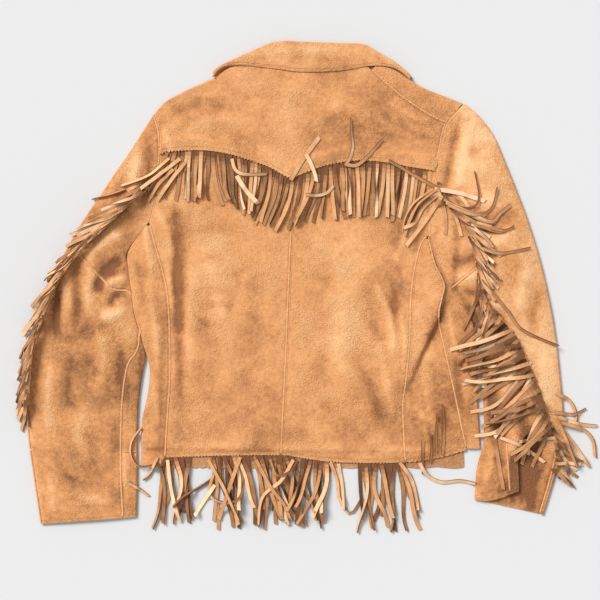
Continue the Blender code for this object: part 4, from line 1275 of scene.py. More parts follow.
STRAND_LENGTHS = 15  # short lengths of leather along it
STRAND_WIDTH = 5.2
STRAND_WALL = 1.8
PILE_WALL = 1.35  # what one strand adds to a pile
PILE_MOST = 27.0
PROBES = (-0.9, -0.45, 0, 0.45, 0.9)  # places across a strand that find what it lies on
END_SLANT = 0.35  # how far its end is cut aslant, for its width
UNDER_SHADE = 0.24  # the underside is paler
ROOT_SHADE_REACH = 0.2  # share of the length darkened at the root, as painted shade under the edge it comes from
TUCKED_ROOT_SHADE, LOOSE_ROOT_SHADE = 0.8, 0.1  # how dark that painted shade is


def model_strand():
    """A straight strand one unit long, wide and thick: a block drawn out length by length."""
    bpy.ops.object.select_all(action="DESELECT")
    step = 1 / STRAND_LENGTHS
    bpy.ops.mesh.primitive_cube_add(size=1, location=(step / 2, 0, 0), scale=(step, 1, 1))
    strand = bpy.context.active_object
    bpy.ops.object.transform_apply(location=True, rotation=False, scale=True)
    bpy.ops.object.mode_set(mode="EDIT")
    bpy.ops.mesh.select_mode(type="FACE")
    bpy.ops.mesh.select_all(action="DESELECT")
    bpy.ops.object.mode_set(mode="OBJECT")
    for face in strand.data.polygons:
        face.select = face.normal.x > 0.9
    bpy.ops.object.mode_set(mode="EDIT")
    for _ in range(STRAND_LENGTHS - 1):
        bpy.ops.mesh.extrude_region_move(TRANSFORM_OT_translate={"value": (step, 0, 0)})
    bpy.ops.mesh.select_all(action="SELECT")
    bpy.ops.mesh.normals_make_consistent(inside=False)
    bpy.ops.object.mode_set(mode="OBJECT")
    mesh = strand.data
    points = np.array([vertex.co for vertex in mesh.vertices])
    faces = [tuple(face.vertices) for face in mesh.polygons]
    normals = np.array([face.normal for face in mesh.polygons])
    bpy.data.objects.remove(strand)
    return points, faces, normals


# root is how much painted shade darkens a strand where it comes from under an edge
Strand = namedtuple("Strand", "x y z roll width shade root")
strand_points, strand_faces, strand_normals = model_strand()
# the side faces, the cut edges: darkened by the finish, partly their own colour and partly painted shade
# between strands
strand_cut_edges_and_shade = (np.abs(strand_normals[:, 2]) < 0.5).astype(np.float32)
strand_under = (strand_normals[:, 2] < -0.5).astype(np.float32)
strand_place = np.array([np.mean([strand_points[corner, 0] for corner in face]) for face in strand_faces])


def lay_out(strand):
    """The points of a strand laid along its line."""
    line = np.stack([strand.x, strand.y, strand.z], -1)
    ahead = np.gradient(line, axis=0)
    ahead /= np.linalg.norm(ahead, axis=1, keepdims=True)
    side = np.cross((0, 0, 1), ahead)
    side /= np.maximum(np.linalg.norm(side, axis=1, keepdims=True), 1e-6)
    up = np.cross(ahead, side)
    roll = strand.roll[:, None]
    across = side * np.cos(roll) + up * np.sin(roll)
    over = up * np.cos(roll) - side * np.sin(roll)
    station = np.rint(strand_points[:, 0] * STRAND_LENGTHS).astype(int)
    share_w = strand_points[:, 1] * strand.width
    share_t = strand_points[:, 2] * STRAND_WALL
    slant = (station == STRAND_LENGTHS) * share_w * END_SLANT
    return (
        line[station] + across[station] * share_w[:, None]
        + over[station] * share_t[:, None] + ahead[station] * slant[:, None]
    )


def strands_mesh(name, node, strands):
    """All strands of one run as one mesh, in the place of the CAD's plain band."""
    points = np.concatenate([lay_out(strand) for strand in strands]) * MM
    points[:, 2] = np.maximum(points[:, 2], 0.0001)
    count = len(strand_points)
    faces = [
        tuple(start + corner for corner in face)
        for start in range(0, len(points), count) for face in strand_faces
    ]
    mesh = bpy.data.meshes.new(name)
    mesh.from_pydata(points.tolist(), [], faces)
    # painted shade at the root, taken from each strand's own tone and its paler underside
    root_shade_mask = np.exp(-((strand_place / ROOT_SHADE_REACH) ** 2))
    shade = np.concatenate([
        strand.shade + UNDER_SHADE * strand_under - strand.root * root_shade_mask for strand in strands
    ])
    for label, values in (("shade", shade), ("cut", np.tile(strand_cut_edges_and_shade, len(strands)))):
        made = mesh.attributes.new(label, "FLOAT", "FACE")
        made.data.foreach_set("value", values.astype(np.float32))
    piece = add_object(name, mesh)
    select_only(piece)
    bpy.ops.object.shade_smooth_by_angle(angle=math.radians(40))
    mesh.materials.append(fringe_leather)
    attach(piece, "root")
    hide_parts(node)
    return piece


def run_down(root_x, root_y, lean, length, bend=0.0, sway=0.0, count=STRAND_LENGTHS + 1):
    """A strand's line from its root. lean is in degrees to the right of straight down; bend adds to it."""
    share = np.linspace(0, 1, count)
    heading = np.radians(lean + bend * ease(share) + sway * np.sin(2 * math.pi * share * 1.2))
    step = length / (count - 1)
    return (
        root_x + gathered(np.sin(heading[:-1]) * step), root_y - gathered(np.cos(heading[:-1]) * step)
    )


def run_through(places):
    """A strand's line through given places."""
    dense = smooth_run(places, np.linspace(0, len(places) - 1, 80))
    way = way_along(dense[:, 0], dense[:, 1])
    at = np.linspace(0, way[-1], STRAND_LENGTHS + 1)
    return np.interp(at, way, dense[:, 0]), np.interp(at, way, dense[:, 1])


def settle(x, y, roll, width, tucked=0, tuck_height=None, lift=0.0):
    """Lays a line on what is there and adds its strand to the pile. Its first places may be tucked in."""
    way = np.linspace(0, len(x) - 1, 6 * (len(x) - 1) + 1)
    dense_x, dense_y = np.interp(way, np.arange(len(x)), x), np.interp(way, np.arange(len(x)), y)
    slope_x, slope_y = np.gradient(dense_x), np.gradient(dense_y)
    long = np.maximum(np.hypot(slope_x, slope_y), 1e-6)
    dense_roll = np.interp(way, np.arange(len(x)), roll)
    half = width / 2 * np.maximum(np.abs(np.cos(dense_roll)), 0.3)
    probes = [
        cell_of(dense_x - slope_y / long * aside * half, dense_y + slope_x / long * aside * half)
        for aside in PROBES
    ]
    ground = np.max([pile[cells] for cells in probes], axis=0)
    free = way >= tucked
    if tucked:
        ground = np.where(free, ground, tuck_height)
        least = np.where(free, ground - 0.4, 0)
    else:
        wide = np.pad(ground, 4, mode="edge")
        ground = np.max([wide[shift:shift + len(ground)] for shift in range(9)], axis=0)
        least = ground - 0.5
    ground = np.maximum(np.convolve(np.pad(ground, 7, mode="edge"), np.ones(15) / 15, mode="valid"), least)
    stand = np.abs(np.sin(dense_roll)) * width / 2
    z = np.minimum(ground + STRAND_WALL / 2 + stand + lift + 0.15, PILE_MOST)
    top = np.minimum(z + stand * 0.7, PILE_MOST) - STRAND_WALL / 2 + PILE_WALL
    for column, row in probes:
        cells = column[free], row[free]
        pile[cells] = np.maximum(pile[cells], top[free])
    return np.interp(np.arange(len(x)), way, z)


# root is painted shade at the strand's root; the sleeves' strands keep 0.5 where they leave their seams
def strand_on(x, y, width=STRAND_WIDTH, roll=(0, 0), shade=0.5, root=0.5, **tuck):
    turn = mix(roll[0], roll[1], ease(np.linspace(0, 1, len(x))))
    z = settle(x, y, turn, width, **tuck)
    return Strand(x, y, z, turn, width, shade, root)


def thrown(rows):
    """Strands laid loose through given places."""
    return [
        strand_on(*run_through(places), width, roll, shade, LOOSE_ROOT_SHADE) for places, width, roll, shade in rows
    ]


def draw(chance, low, high):
    return chance.uniform(low, high)


def random_roll(chance):
    """Most strands lie flat, some stand on edge and some turn over on the way."""
    kind = chance.random()
    if kind < 0.62:
        return draw(chance, -0.3, 0.3), draw(chance, -0.5, 0.5)
    if kind < 0.86:
        return draw(chance, -0.6, 0.6), chance.choice((-1, 1)) * draw(chance, 0.9, 1.5)
    return draw(chance, -0.4, 0.4), chance.choice((-1, 1)) * draw(chance, 2.4, 3.3)


# The yoke's fringe: how strands lean along the edge

Lean = namedtuple("Lean", "x lean bend sway length")
YOKE_LEANS = (
    Lean(-199, -46, 2, 0, 70), Lean(-186, -34, 2, 0, 76), Lean(-178, -12, 4, 0, 74),
    Lean(-160, -7, 3, 0, 74), Lean(-140, -12, 2, 0, 76), Lean(-128, -12, 44, 6, 80),
    Lean(-112, -12, 40, 10, 78), Lean(-98, -4, 20, 8, 80), Lean(-84, 2, 0, 3, 82),
    Lean(-62, -6, -4, 2, 80), Lean(-42, -14, -8, 2, 84), Lean(-20, -20, -6, 0, 80),
    Lean(-6, -16, -14, 0, 82), Lean(12, -14, -10, 4, 82), Lean(34, -12, -8, 4, 84),
    Lean(48, 8, 6, 0, 84), Lean(62, 2, -6, 4, 80), Lean(84, 6, -6, 0, 82), Lean(104, 1, -3, 0, 84),
    Lean(128, -4, -2, 0, 84), Lean(150, -6, -5, 0, 82), Lean(168, -8, -6, 0, 84), Lean(190, -12, -10, 0, 84),
)
YOKE_PITCH = 5.5
YOKE_TUCK = 8.0
# strands that have been thrown over: (places, width, roll, shade)
YOKE_THROWN = (
    (((-102, 212), (-97, 196), (-84, 189), (-50, 189)), 5.0, (0.2, 0.9), 0.72),
    (((-95, 186), (-80, 163), (-63, 145)), 6.4, (0.0, 0.2), 0.80),
    (((8, 158), (26, 157), (40, 161), (50, 172)), 4.6, (0.6, 0.3), 0.74),
    (((-14, 180), (3, 209), (29, 245)), 6.4, (0.2, 0.1), 0.56),
    (((9, 219), (16, 206), (23, 188), (25, 178)), 6.0, (0.3, 0.6), 0.80),
    (((68, 202), (75, 214), (79, 230), (77, 250), (76.5, 273)), 5.0, (0.4, 1.35), 0.74),
    (((70, 203), (84, 202), (97, 211), (110, 225), (124, 241)), 5.0, (0.2, 0.9), 0.58),
    (((133, 209), (150, 200), (170, 188), (206, 168)), 5.4, (0.9, 0.7), 0.40),
)


def make_yoke_strands():
    chance = random.Random(11)
    leans = np.array(YOKE_LEANS, float)
    strands = []
    roots = np.arange(-197, 190, YOKE_PITCH)
    order = list(range(len(roots)))
    chance.shuffle(order)
    for turn, index in enumerate(order):
        root = roots[index] + draw(chance, -0.8, 0.8)
        lean, bend, sway, length = (np.interp(root, leans[:, 0], leans[:, column]) for column in range(1, 5))
        edge = float(y_of(YOKE_EDGE, root))
        x, y = run_down(
            root, edge + YOKE_TUCK, 0.4 * lean + draw(chance, -3, 3),
            length + YOKE_TUCK + draw(chance, -7, 5), 0.6 * lean + bend + draw(chance, -6, 6),
            sway + draw(chance, -4, 4),
        )
        tuck = back_height(np.array(root), np.array(edge)) + 0.3
        # strands laid earlier lie lower in the pile and get a darker shade, as painted shade; the rest is
        # random tone
        strands.append(strand_on(
            x, y, STRAND_WIDTH + draw(chance, -0.6, 0.7), (0, random_roll(chance)[1]),
            0.04 + 0.58 * turn / len(order) + draw(chance, -0.1, 0.18), TUCKED_ROOT_SHADE,
            tucked=2, tuck_height=float(tuck),
        ))
    strands_mesh("strands_yoke", "yoke_fringe", strands + thrown(YOKE_THROWN))


# The fringe along the hem

HEM_RUNS = (  # node, first and last root, tips, how many, their lean in degrees
    ("hem_fringe_left", -207, -164, -342, 10, 4), ("hem_fringe_mid_left", -136, -76, -343, 15, 11),
    ("hem_fringe_centre", -68, -12, -343, 17, 10), ("hem_fringe_mid_right", 2, 46, -336, 12, -3),
    ("hem_fringe_right", 86, 158, -334, 15, 4),
)
HEM_ROOT = -226.0
HEM_TUCK = 8.0
HEM_THROWN = {
    "hem_fringe_left": (
        (((-238, -192), (-252, -212), (-253, -234), (-240, -250), (-214, -246)), 4.4, (0.9, 1.2), 0.60),
        (((-258, -275), (-246, -281), (-228, -295)), 4.2, (0.3, 0.6), 0.66),
        (((-214, -236), (-226, -262), (-236, -270)), 4.4, (0.2, 1.2), 0.56),
        (((-199, -240), (-193, -286), (-180, -334)), 5.4, (0.2, 0.4), 0.80),
        (((-128, -266), (-152, -282), (-176, -296), (-190, -310)), 4.4, (1.2, 0.9), 0.10),
        (((-212, -246), (-204, -282), (-206, -336)), 5.2, (0.2, 0.3), 0.16),
    ),
    "hem_fringe_mid_left": (
        (((-130, -262), (-136, -292), (-116, -304), (-92, -298), (-84, -276)), 4.6, (0.4, 1.1), 0.56),
        (((-128, -278), (-144, -302), (-158, -324)), 5.4, (0.1, 0.3), 0.90),
        (((-90, -236), (-104, -276), (-122, -330)), 5.6, (0.1, 0.2), 0.44),
        (((-138, -240), (-112, -286), (-92, -330)), 5.0, (0.2, 0.8), 0.52),
    ),
    "hem_fringe_centre": (
        (((-10, -240), (-28, -270), (-56, -296), (-62, -336)), 5.2, (0.1, 0.9), 0.66),
        (((-66, -240), (-44, -280), (-24, -306), (-14, -330)), 5.2, (0.2, 0.5), 0.40),
        (((-44, -238), (-34, -262), (-14, -256), (-4, -240)), 4.6, (0.9, 1.2), 0.40),
    ),
    "hem_fringe_mid_right": (
        (((46, -244), (56, -272), (60, -300), (76, -322), (92, -300)), 5.0, (0.2, 0.9), 0.60),
        (((58, -246), (64, -280), (66, -314)), 5.0, (0.2, 0.7), 0.70),
    ),
    "hem_fringe_right": (
        (((184.5, -262), (184, -236), (185, -210)), 4.8, (1.3, 0.5), 0.40),
        (((196, -244), (197, -222), (196, -202)), 4.6, (0.9, 1.3), 0.52),
        (((205, -228), (204, -200), (206, -174)), 4.6, (0.9, 1.2), 0.58),
        (((214, -232), (216, -196), (214, -157)), 5.0, (0.5, 1.2), 0.46),
        (((180, -244), (190, -262), (212, -274), (240, -272), (264, -276)), 5.2, (0.3, 0.7), 0.74),
        (((150, -244), (168, -270), (176, -300), (178, -316)), 5.2, (0.2, 0.7), 0.60),
    ),
}


def make_hem_strands():
    chance = random.Random(23)
    for node, first, last, tips, count, lean in HEM_RUNS:
        strands = []
        order = list(range(count))
        chance.shuffle(order)
        for turn, index in enumerate(order):
            root = mix(first, last, (index + 0.5) / count) + draw(chance, -1.5, 1.5)
            edge = float(y_of(BACK_HEM, root))
            length = HEM_ROOT - tips + draw(chance, -26, 8)
            x, y = run_down(
                root, edge + HEM_TUCK, lean + draw(chance, -7, 7), length,
                draw(chance, -26, 22), draw(chance, -14, 14),
            )
            # strands laid earlier lie lower in the pile and get a darker shade, as painted shade; the rest is
            # random tone
            strands.append(strand_on(
                x, y, STRAND_WIDTH + draw(chance, -0.6, 0.9), (0, random_roll(chance)[1]),
                -0.1 + 0.75 * turn / count + draw(chance, -0.12, 0.2), TUCKED_ROOT_SHADE,
                tucked=2, tuck_height=LEATHER + REST,
            ))
        strands_mesh("strands_" + node.replace("_fringe", ""), node, strands + thrown(HEM_THROWN[node]))


# The fringe down each sleeve's hind seam

Fan = namedtuple("Fan", "at lean spread length")  # lean is from straight down to the right, in degrees
LEFT_FAN = (
    Fan(0.2, -56, 12, 72), Fan(1.5, -63, 12, 74), Fan(3, -62, 11, 72), Fan(4.5, -56, 12, 68),
    Fan(5.5, -49, 12, 66), Fan(6.5, -42, 12, 62), Fan(8, -32, 13, 58), Fan(9.5, -24, 15, 52),
    Fan(11, -14, 16, 48), Fan(12.2, 4, 14, 44),
)
RIGHT_FAN = (
    Fan(0.2, 40, 60, 66), Fan(1.2, 66, 44, 70), Fan(2.4, 60, 34, 68), Fan(3.6, 44, 34, 66),
    Fan(4.6, 24, 26, 62), Fan(5.6, 10, 26, 66), Fan(6.4, -14, 34, 76), Fan(7.2, -48, 32, 88),
    Fan(8.4, -60, 30, 98), Fan(9.4, -52, 40, 98), Fan(10.2, -30, 70, 76), Fan(11.0, 40, 70, 54),
    Fan(11.8, 70, 40, 44),
)
SLEEVE_PITCH = 5.2
LEFT_THROWN = (
    (((-180, 212), (-208, 190), (-238, 166)), 5.4, (0.1, 0.3), 0.62),
    (((-172, 206), (-190, 184), (-214, 150)), 5.4, (0.2, 0.1), 0.58),
    (((-196, 212), (-222, 190), (-246, 178), (-268, 171)), 5.0, (0.6, 0.9), 0.70),
    (((-190, 196), (-210, 176), (-228, 148)), 5.2, (0.1, 0.4), 0.50),
    (((-262, 166), (-284, 158), (-312, 152)), 4.4, (1.1, 1.3), 0.56),
)
RIGHT_THROWN = (
    (((202, 166), (240, 160), (277, 148)), 6.2, (0.1, 0.2), 0.88),
    (((206, 168), (214, 152), (240, 138), (262, 140), (268, 158), (262, 192)), 4.6, (0.5, 1.3), 0.44),
    (((218, 146), (250, 132), (285, 117), (300, 130), (315, 142)), 5.4, (0.1, 0.7), 0.60),
    (((222, 142), (258, 128), (286, 136), (296, 168)), 4.8, (0.4, 1.0), 0.62),
    (((200, 166), (172, 146), (158, 122), (155, 102)), 4.8, (0.8, 1.2), 0.50),
    (((204, 164), (178, 144), (164, 118), (157, 96)), 5.0, (0.9, 0.4), 0.42),
    (((210, 160), (186, 140), (172, 116), (156, 108)), 5.4, (0.1, 0.3), 0.60),
    (((212, 156), (192, 124), (160, 82)), 6.0, (0.1, 0.2), 0.56),
    (((270, 78), (300, 70), (345, 78)), 4.6, (0.5, 1.0), 0.56),
    (((285, 108), (306, 104), (320, 110)), 4.4, (0.4, 1.1), 0.44),
    (((270, 30), (309, -15), (333, -45), (387, -69)), 5.0, (0.4, 1.0), 0.30),
    (((348, -110), (322, -160), (292, -206)), 5.4, (0.1, 0.2), 0.82),
    (((300, -206), (334, -220), (368, -244)), 5.2, (0.1, 0.4), 0.70),
    (((292, -208), (299, -250), (305, -284)), 5.6, (0.1, 0.2), 0.30),
    (((262, -88), (288, -100), (322, -92)), 5.6, (0.1, 0.2), 0.86),
    (((256, -168), (292, -158), (326, -120), (346, -92)), 5.4, (0.1, 0.5), 0.76),
    (((262, -204), (296, -196), (330, -160), (352, -132)), 5.6, (0.2, 0.4), 0.84),
    (((328, -212), (356, -210), (387, -206)), 5.2, (0.2, 0.4), 0.74),
)
CUFF_THROWN = (
    (((384, -140), (406, -152), (416, -176), (410, -188)), 5.0, (0.2, 1.0), 0.56),
    (((388, -176), (418, -186), (446, -190)), 5.2, (0.1, 0.6), 0.66),
    (((392, -184), (424, -194), (440, -210), (444, -236)), 5.2, (0.2, 0.9), 0.50),
    (((390, -190), (412, -216), (434, -250)), 5.0, (0.2, 0.5), 0.60),
    (((386, -180), (400, -212), (416, -250)), 5.0, (0.1, 1.1), 0.44),
    (((382, -168), (410, -172), (430, -164)), 4.6, (0.3, 0.9), 0.52),
)


def sleeve_strands(stations, armhole, folds, fans, first, last, chance, pitch=SLEEVE_PITCH, wider=0.0):
    """The strands that fan out from a sleeve's hind seam between two of its stations."""
    fans = np.array(fans, float)
    ats = np.linspace(first, last, 400)
    hind = turn_of(smooth_run(stations, ats)[..., 6])
    seam_x, seam_y, _, _ = sleeve_points(stations, armhole, folds, ats, hind)
    way = way_along(seam_x, seam_y)
    strands = []
    for place in np.arange(2, way[-1], pitch):
        at = float(np.interp(place, way, ats))
        lean, spread, length = (float(np.interp(at, fans[:, 0], fans[:, column])) for column in (1, 2, 3))
        x, y = run_down(
            float(np.interp(place, way, seam_x)) + draw(chance, -1.5, 1.5),
            float(np.interp(place, way, seam_y)) + draw(chance, -1.5, 1.5),
            lean + draw(chance, -0.6, 0.6) * spread, length * draw(chance, 0.86, 1.08),
            draw(chance, -0.7, 0.7) * spread, draw(chance, -8, 8),
        )
        strands.append(strand_on(
            x, y, STRAND_WIDTH + wider + draw(chance, -0.7, 0.5), random_roll(chance),
            draw(chance, 0.14, 0.78),
        ))
    return strands


def make_sleeve_strands():
    chance = random.Random(31)
    left = SLEEVE_LEFT, ARMHOLE_LEFT, LEFT_SLEEVE_FOLDS, LEFT_FAN
    right = SLEEVE_RIGHT, ARMHOLE_RIGHT, RIGHT_SLEEVE_FOLDS, RIGHT_FAN
    for place, parts, loose in (
        ("left_upper", (*left, 0.3, 5, chance), LEFT_THROWN), ("left_lower", (*left, 5, 11.4, chance), ()),
        ("right_upper", (*right, 0.3, 6.4, chance), RIGHT_THROWN),
        ("right_lower", (*right, 6.4, 10.4, chance, 6.2, 0.9), ()),
        ("right_cuff", (*right, 10.4, 11.9, chance), CUFF_THROWN),
    ):
        strands = sleeve_strands(*parts) + thrown(loose)
        strands_mesh("strands_sleeve_" + place, "sleeve_fringe_" + place, strands)


# Raised seams and stitching

RIDGE_WIDTH = 2.7
RIDGE_RISE = 1.0
RIDGE_SUNK = 1.2
STITCH = 3.4  # from one stitch to the next
STITCH_LONG = 2.4
STITCH_THICK = 0.55
TOPSTITCH = 5.6  # how far in from the yoke's edge and the hem the stitches run
COLLAR_STITCH = 4.6  # and how far in from the collar's edge
LEAST_HEIGHT = 0.1  # above the floor


def evenly(x, y, z, step):
    """A line read again at even steps."""
    way = gathered(np.sqrt(np.diff(x) ** 2 + np.diff(y) ** 2 + np.diff(z) ** 2))
    at = np.linspace(0, way[-1], max(int(way[-1] / step), 2) + 1)
    return np.interp(at, way, x), np.interp(at, way, y), np.interp(at, way, z)


def sideways(x, y):
    """The unit direction to the left of a line in plan."""
    dx, dy = np.gradient(x), np.gradient(y)
    long = np.maximum(np.hypot(dx, dy), 1e-6)
    return -dy / long, dx / long


def add_piece(name, points, faces, skin):
    mesh = bpy.data.meshes.new(name)
    points = np.array(points, float)
    points[:, 2] = np.maximum(points[:, 2], LEAST_HEIGHT)
    mesh.from_pydata((points * MM).tolist(), [], faces)
    piece = add_object(name, mesh)
    mesh.shade_smooth()
    mesh.materials.append(skin)
    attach(piece, "root")
    return piece


def seam_ridge(name, x, y, z, width=RIDGE_WIDTH, rise=RIDGE_RISE):
    """The raised lip of a sewn seam: a low rounded roll, drawn in a little at every stitch."""
    x, y, z = evenly(x, y, z, STITCH / 4)
    side_x, side_y = sideways(x, y)
    pulled = 1 - 0.12 * np.cos(2 * math.pi * np.arange(len(x)) / 4) + 0.14 * cloud(x, y, 13, 41)
    ends = ease(np.minimum(np.arange(len(x)), np.arange(len(x))[::-1]) / 3) * 0.8 + 0.2
    rounds = [
        (math.cos(angle) * width / 2 * pulled * ends, math.sin(angle) * rise * pulled * ends)
        for angle in np.linspace(0, math.pi, 7)
    ]
    rounds += [(-width / 2, -RIDGE_SUNK), (width / 2, -RIDGE_SUNK)]
    rings = [np.stack([x + side_x * across, y + side_y * across, z + up], -1) for across, up in rounds]
    count, around = len(x), len(rings)
    points = np.stack(rings, 1).reshape(-1, 3)
    faces = [
        (row * around + column, row * around + (column + 1) % around,
         (row + 1) * around + (column + 1) % around, (row + 1) * around + column)
        for row in range(count - 1) for column in range(around)
    ]
    faces += [tuple(range(around))[::-1], tuple((count - 1) * around + column for column in range(around))]
    piece = add_piece(name, points, faces, rubbed_buckskin)
    face_outwards(piece)
    return piece


def face_outwards(piece):
    select_only(piece)
    bpy.ops.object.mode_set(mode="EDIT")
    bpy.ops.mesh.select_all(action="SELECT")
    bpy.ops.mesh.normals_make_consistent(inside=False)
    bpy.ops.object.mode_set(mode="OBJECT")


def model_stitch():
    """One stitch of thread, rounded where it goes into the leather."""
    bpy.ops.object.select_all(action="DESELECT")
    bpy.ops.mesh.primitive_cylinder_add(
        vertices=6, radius=0.5, depth=1, rotation=(0, math.pi / 2, 0), end_fill_type="NGON"
    )
    stitch = bpy.context.active_object
    bpy.ops.object.transform_apply(location=False, rotation=True, scale=False)
    bpy.ops.object.mode_set(mode="EDIT")
    bpy.ops.mesh.select_mode(type="FACE")
    bpy.ops.mesh.select_all(action="DESELECT")
    bpy.ops.object.mode_set(mode="OBJECT")
    for face in stitch.data.polygons:
        face.select = abs(face.normal.x) > 0.9
    bpy.ops.object.mode_set(mode="EDIT")
    bpy.ops.mesh.inset(thickness=0.18, depth=0.0)
    bpy.ops.object.mode_set(mode="OBJECT")
    mesh = stitch.data
    points = np.array([vertex.co for vertex in mesh.vertices])
    away = np.hypot(points[:, 1], points[:, 2])
    outermost = away > 0.49
    points[outermost, 0] *= 0.72
    faces = [tuple(face.vertices) for face in mesh.polygons]
    bpy.data.objects.remove(stitch)
    return points, faces


stitch_points, stitch_faces = model_stitch()


def stitched(name, runs):
    """Runs of stitches as one mesh. Each run is a line on the leather."""
    points, faces = [], []
    for x, y, z in runs:
        x, y, z = evenly(x, y, z, STITCH)
        for index in range(len(x) - 1):
            start = np.array([x[index], y[index], z[index]])
            ahead = np.array([x[index + 1], y[index + 1], z[index + 1]]) - start
            ahead /= max(np.linalg.norm(ahead), 1e-6)
            side = np.cross((0, 0, 1), ahead)
            side /= max(np.linalg.norm(side), 1e-6)
            up = np.cross(ahead, side)
            base = len(points) * len(stitch_points)
            along_x = stitch_points[:, :1] * STITCH_LONG * ahead
            across = stitch_points[:, 1:2] * STITCH_THICK * side + stitch_points[:, 2:] * STITCH_THICK * up
            points.append(start + along_x + across + 0.12 * up)
            faces += [tuple(base + corner for corner in face) for face in stitch_faces]
    return add_piece(name, np.concatenate(points), faces, thread)


def dense_line(places, low=None, high=None):
    """A seam's closely spaced places, kept between two heights along the body."""
    line = smooth_run(places, np.linspace(0, len(places) - 1, 24 * (len(places) - 1) + 1))
    kept = np.ones(len(line), bool)
    if low is not None:
        kept &= line[:, 1] >= low
    if high is not None:
        kept &= line[:, 1] <= high
    return line[kept, 0], line[kept, 1]


def on_back(x, y, sunk=0.35):
    return x, y, back_height(x, y) - sunk


def moved(x, y, way):
    side_x, side_y = sideways(x, y)
    return x + side_x * way, y + side_y * way


# name, line, lowest and highest place, and how far to the left of the seam its stitches run
BODY_SEAMS = (
    ("centre_back", CENTRE_BACK, -232, 197, 3.4), ("princess_left", PRINCESS_LEFT, -236, 113, -3.6),
    ("princess_right", PRINCESS_RIGHT, -243, 95, 3.6), ("side_right", SIDE_SEAM, -222, 95, 3.4),
)


def make_body_seams():
    runs = []
    for name, places, low, high, aside in BODY_SEAMS:
        x, y = dense_line(places, low, high)
        seam_ridge("seam_" + name, *on_back(x, y))
        x, y = moved(x, y, aside)
        runs.append((x, y, back_height(x, y)))
    x, y = dense_line(ARMHOLE_LEFT)
    left_lift = np.where(y > 230, yoke_height(x + 4, y), back_height(x, y))
    seam_ridge("seam_armhole_left", x, y, np.minimum(left_lift, 9.5) - 0.5)
    x, y = dense_line(ARMHOLE_RIGHT, 98, 289)
    over_yoke = 2.2 * ease((y - 190) / 14) * ease((222 - y) / 20)
    seam_ridge("seam_armhole_right", x, y, back_height(x, y) - 0.2 + over_yoke)
    at = np.linspace(0, 1, 200)
    line = smooth_run(SHOULDER_RIGHT, at * (len(SHOULDER_RIGHT) - 1))
    seam_ridge("seam_shoulder_right", *on_back(line[:, 0], line[:, 1] + 0.2, 0.0), width=3.4, rise=2.3)
    for places, aside in ((ARMHOLE_LEFT, 4.2), (ARMHOLE_RIGHT, -4.2)):
        runs.append(on_top(*moved(*dense_line(places, 122, 262), aside)))
    runs.append(on_top(*moved(line[:, 0], line[:, 1], -3.2)))
    for places, first, last in ((YOKE_EDGE, -210, 203), (BACK_HEM, -208, 250)):
        x = np.linspace(first, last, 260)
        runs.append(on_top(x, y_of(places, x) + TOPSTITCH))
    stitched("stitches_body", runs)


STAND_LINE = (
    (-127, 334), (-121, 342), (-111, 348), (-100, 351), (-60, 352), (0, 352), (60, 352), (107, 350),
    (130, 350), (143, 345), (158, 335), (165, 329),
)


def make_collar_stand():
    """The inside of the collar's stand, seen in the gap between the fall and the neck seam."""
    x, y = run_through(STAND_LINE)
    stand = seam_ridge("seam_collar_stand", x, y, np.full(len(x), 1.6), width=13)
    stand.data.materials[0] = buckskin_inside


def make_collar_seams():
    lines = smooth_run(COLLAR, np.linspace(0.8, len(COLLAR) - 1.8, 300))
    from_x, from_y, to_x, to_y = np.moveaxis(lines, -1, 0)
    length = np.hypot(to_x - from_x, to_y - from_y)
    share = COLLAR_STITCH / length
    stitched("stitches_collar", [on_top(mix(from_x, to_x, share), mix(from_y, to_y, share))])


def surface_at(x, y):
    """The highest leather at places in plan, before the fringe is laid on it."""
    column, row = cell_of(x, y)
    beyond, above = np.minimum(column + 1, COLUMNS - 1), np.minimum(row + 1, ROWS - 1)
    middle = np.median([bare[column, row], bare[beyond, row], bare[column, above]], axis=0)
    return np.convolve(np.pad(middle, 3, mode="edge"), np.ones(7) / 7, mode="valid")


def on_top(x, y):
    return x, y, surface_at(x, y)


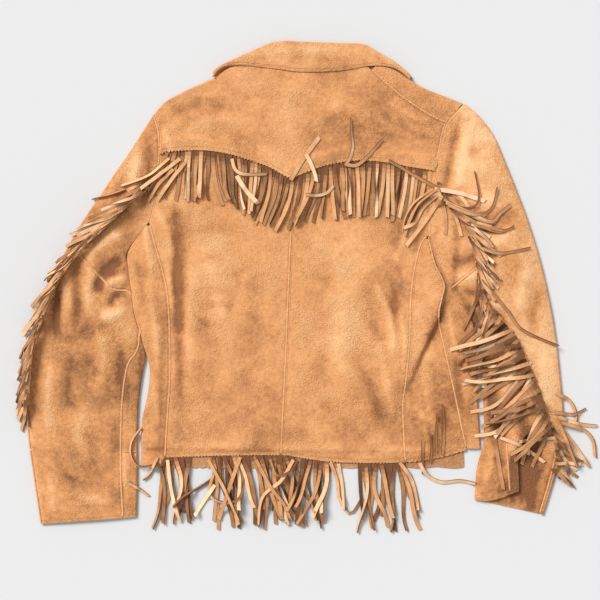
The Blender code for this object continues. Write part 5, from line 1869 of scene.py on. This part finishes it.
def make_sleeve_seams():
    runs = []
    for side, stations, armhole, folds in (
        ("left", SLEEVE_LEFT, ARMHOLE_LEFT, LEFT_SLEEVE_FOLDS),
        ("right", SLEEVE_RIGHT, ARMHOLE_RIGHT, RIGHT_SLEEVE_FOLDS),
    ):
        last = len(stations) - 1.0
        lines = {}

        def hind(at):
            return turn_of(smooth_run(stations, at)[..., 6])

        ats = np.linspace(0.1, 11.4 if side == "left" else last - 0.05, 500)
        lines["hind"] = (ats, hind(ats))
        if side == "left":
            ats = np.linspace(6.2, last - 0.05, 300)
            lines["fore"] = (ats, turn_of(smooth_run(stations, ats)[..., 7]))
            turns = np.linspace(float(hind(np.array(ELBOW_LEFT))), 0.98, 120)
            lines["elbow"] = (ELBOW_LEFT - ELBOW_LEFT_RISE * ease((turns - 0.6) / 0.3), turns)
            turns = np.linspace(float(turn_of(0.855)), 0.98, 60)
            lines["piecing"] = (PIECING_LEFT + 0 * turns, turns)
        else:
            turns = np.linspace(float(hind(np.array(ELBOW_RIGHT))), 0.98, 120)
            lines["elbow"] = (ELBOW_RIGHT + 0 * turns, turns)
            turns = np.linspace(0.02, float(hind(np.array(PIECING_RIGHT))), 60)
            lines["piecing"] = (PIECING_RIGHT + 0 * turns, turns)
        for name, (ats, turns) in lines.items():
            x, y, z, _ = sleeve_points(stations, armhole, folds, ats, turns)
            seam_ridge(f"seam_sleeve_{side}_{name}", x, y, z - 0.4)
            if name in ("fore", "elbow"):
                runs.append(on_top(*moved(x, y, 3.2 if side == "left" else -3.2)))
    # along the edge of each cuff
    for stations, armhole, folds, turns, short in (
        (SLEEVE_LEFT, ARMHOLE_LEFT, LEFT_SLEEVE_FOLDS, np.linspace(0.1, 0.9, 160), 0.0),
        (SLEEVE_RIGHT, ARMHOLE_RIGHT, RIGHT_SLEEVE_FOLDS, np.linspace(0.46, 0.88, 120), CUFF_SHORT),
    ):
        ats = len(stations) - 1.12 - short * ease((0.9 - turns) / 0.6)
        x, y, _, _ = sleeve_points(stations, armhole, folds, ats, turns)
        runs.append(on_top(x, y))
    stitched("stitches_sleeves", runs)


CUFF_SEAM = ((310, -216), (312, -250), (315, -286))  # down the cuff's near layer, on the right


def make_cuff_seam():
    x, y = run_through(CUFF_SEAM)
    seam_ridge("seam_sleeve_right_cuff", x, y, surface_at(x, y) + 0.1)


make_back()
make_yoke()
make_shoulder()
make_sides()
make_fronts()
make_edge_strip()
make_collar()
make_left_sleeve()
make_right_sleeve()
bare = read_tops(panels.values())
make_body_seams()
make_collar_seams()
make_collar_stand()
make_sleeve_seams()
make_cuff_seam()
pile = bare.copy()
make_yoke_strands()
make_hem_strands()
make_sleeve_strands()


# Floor, light and camera

VIEW_HEIGHT = 3.012
VIEW_DISTANCE = 3.0  # from the camera to the garment
VIEW_WIDTH = 0.9  # across the frame, at the garment
SENSOR = 36


def make_stage():
    bpy.ops.object.select_all(action="DESELECT")
    bpy.ops.mesh.primitive_plane_add(size=12, location=(0, 0, -0.0004))
    floor = bpy.context.active_object
    floor.name = "floor"
    pale = Finish("pale_floor", 1.0)
    pale.shader.inputs["Base Color"].default_value = (0.635, 0.635, 0.635, 1)
    pale.shader.inputs["Specular IOR Level"].default_value = 0
    floor.data.materials.append(pale.made)


def make_light(name, towards, strength, softness):
    """A wide, even light from far away."""
    lamp = bpy.data.lights.new(name, "SUN")
    lamp.energy = strength
    lamp.angle = math.radians(softness)
    add_object(name, lamp).rotation_euler = Vector(towards).to_track_quat("Z", "Y").to_euler()


def make_view():
    lens = bpy.data.cameras.new("view")
    lens.type = "PERSP"
    lens.sensor_width = SENSOR
    lens.lens = SENSOR * VIEW_DISTANCE / VIEW_WIDTH
    camera = add_object("view", lens)
    camera.location = (0, 0, VIEW_HEIGHT)
    bpy.context.scene.camera = camera
    scene = bpy.context.scene
    scene.view_settings.view_transform = "Standard"
    scene.view_settings.look = "None"
    world = bpy.data.worlds.new("studio")
    world.use_nodes = True
    sky = world.node_tree.nodes["Background"]
    sky.inputs["Color"].default_value = (1, 1, 1, 1)
    sky.inputs["Strength"].default_value = 0.57
    scene.world = world
    make_light("key", (-0.62, 0.62, 1.0), 3.2, 24)


make_stage()
make_view()
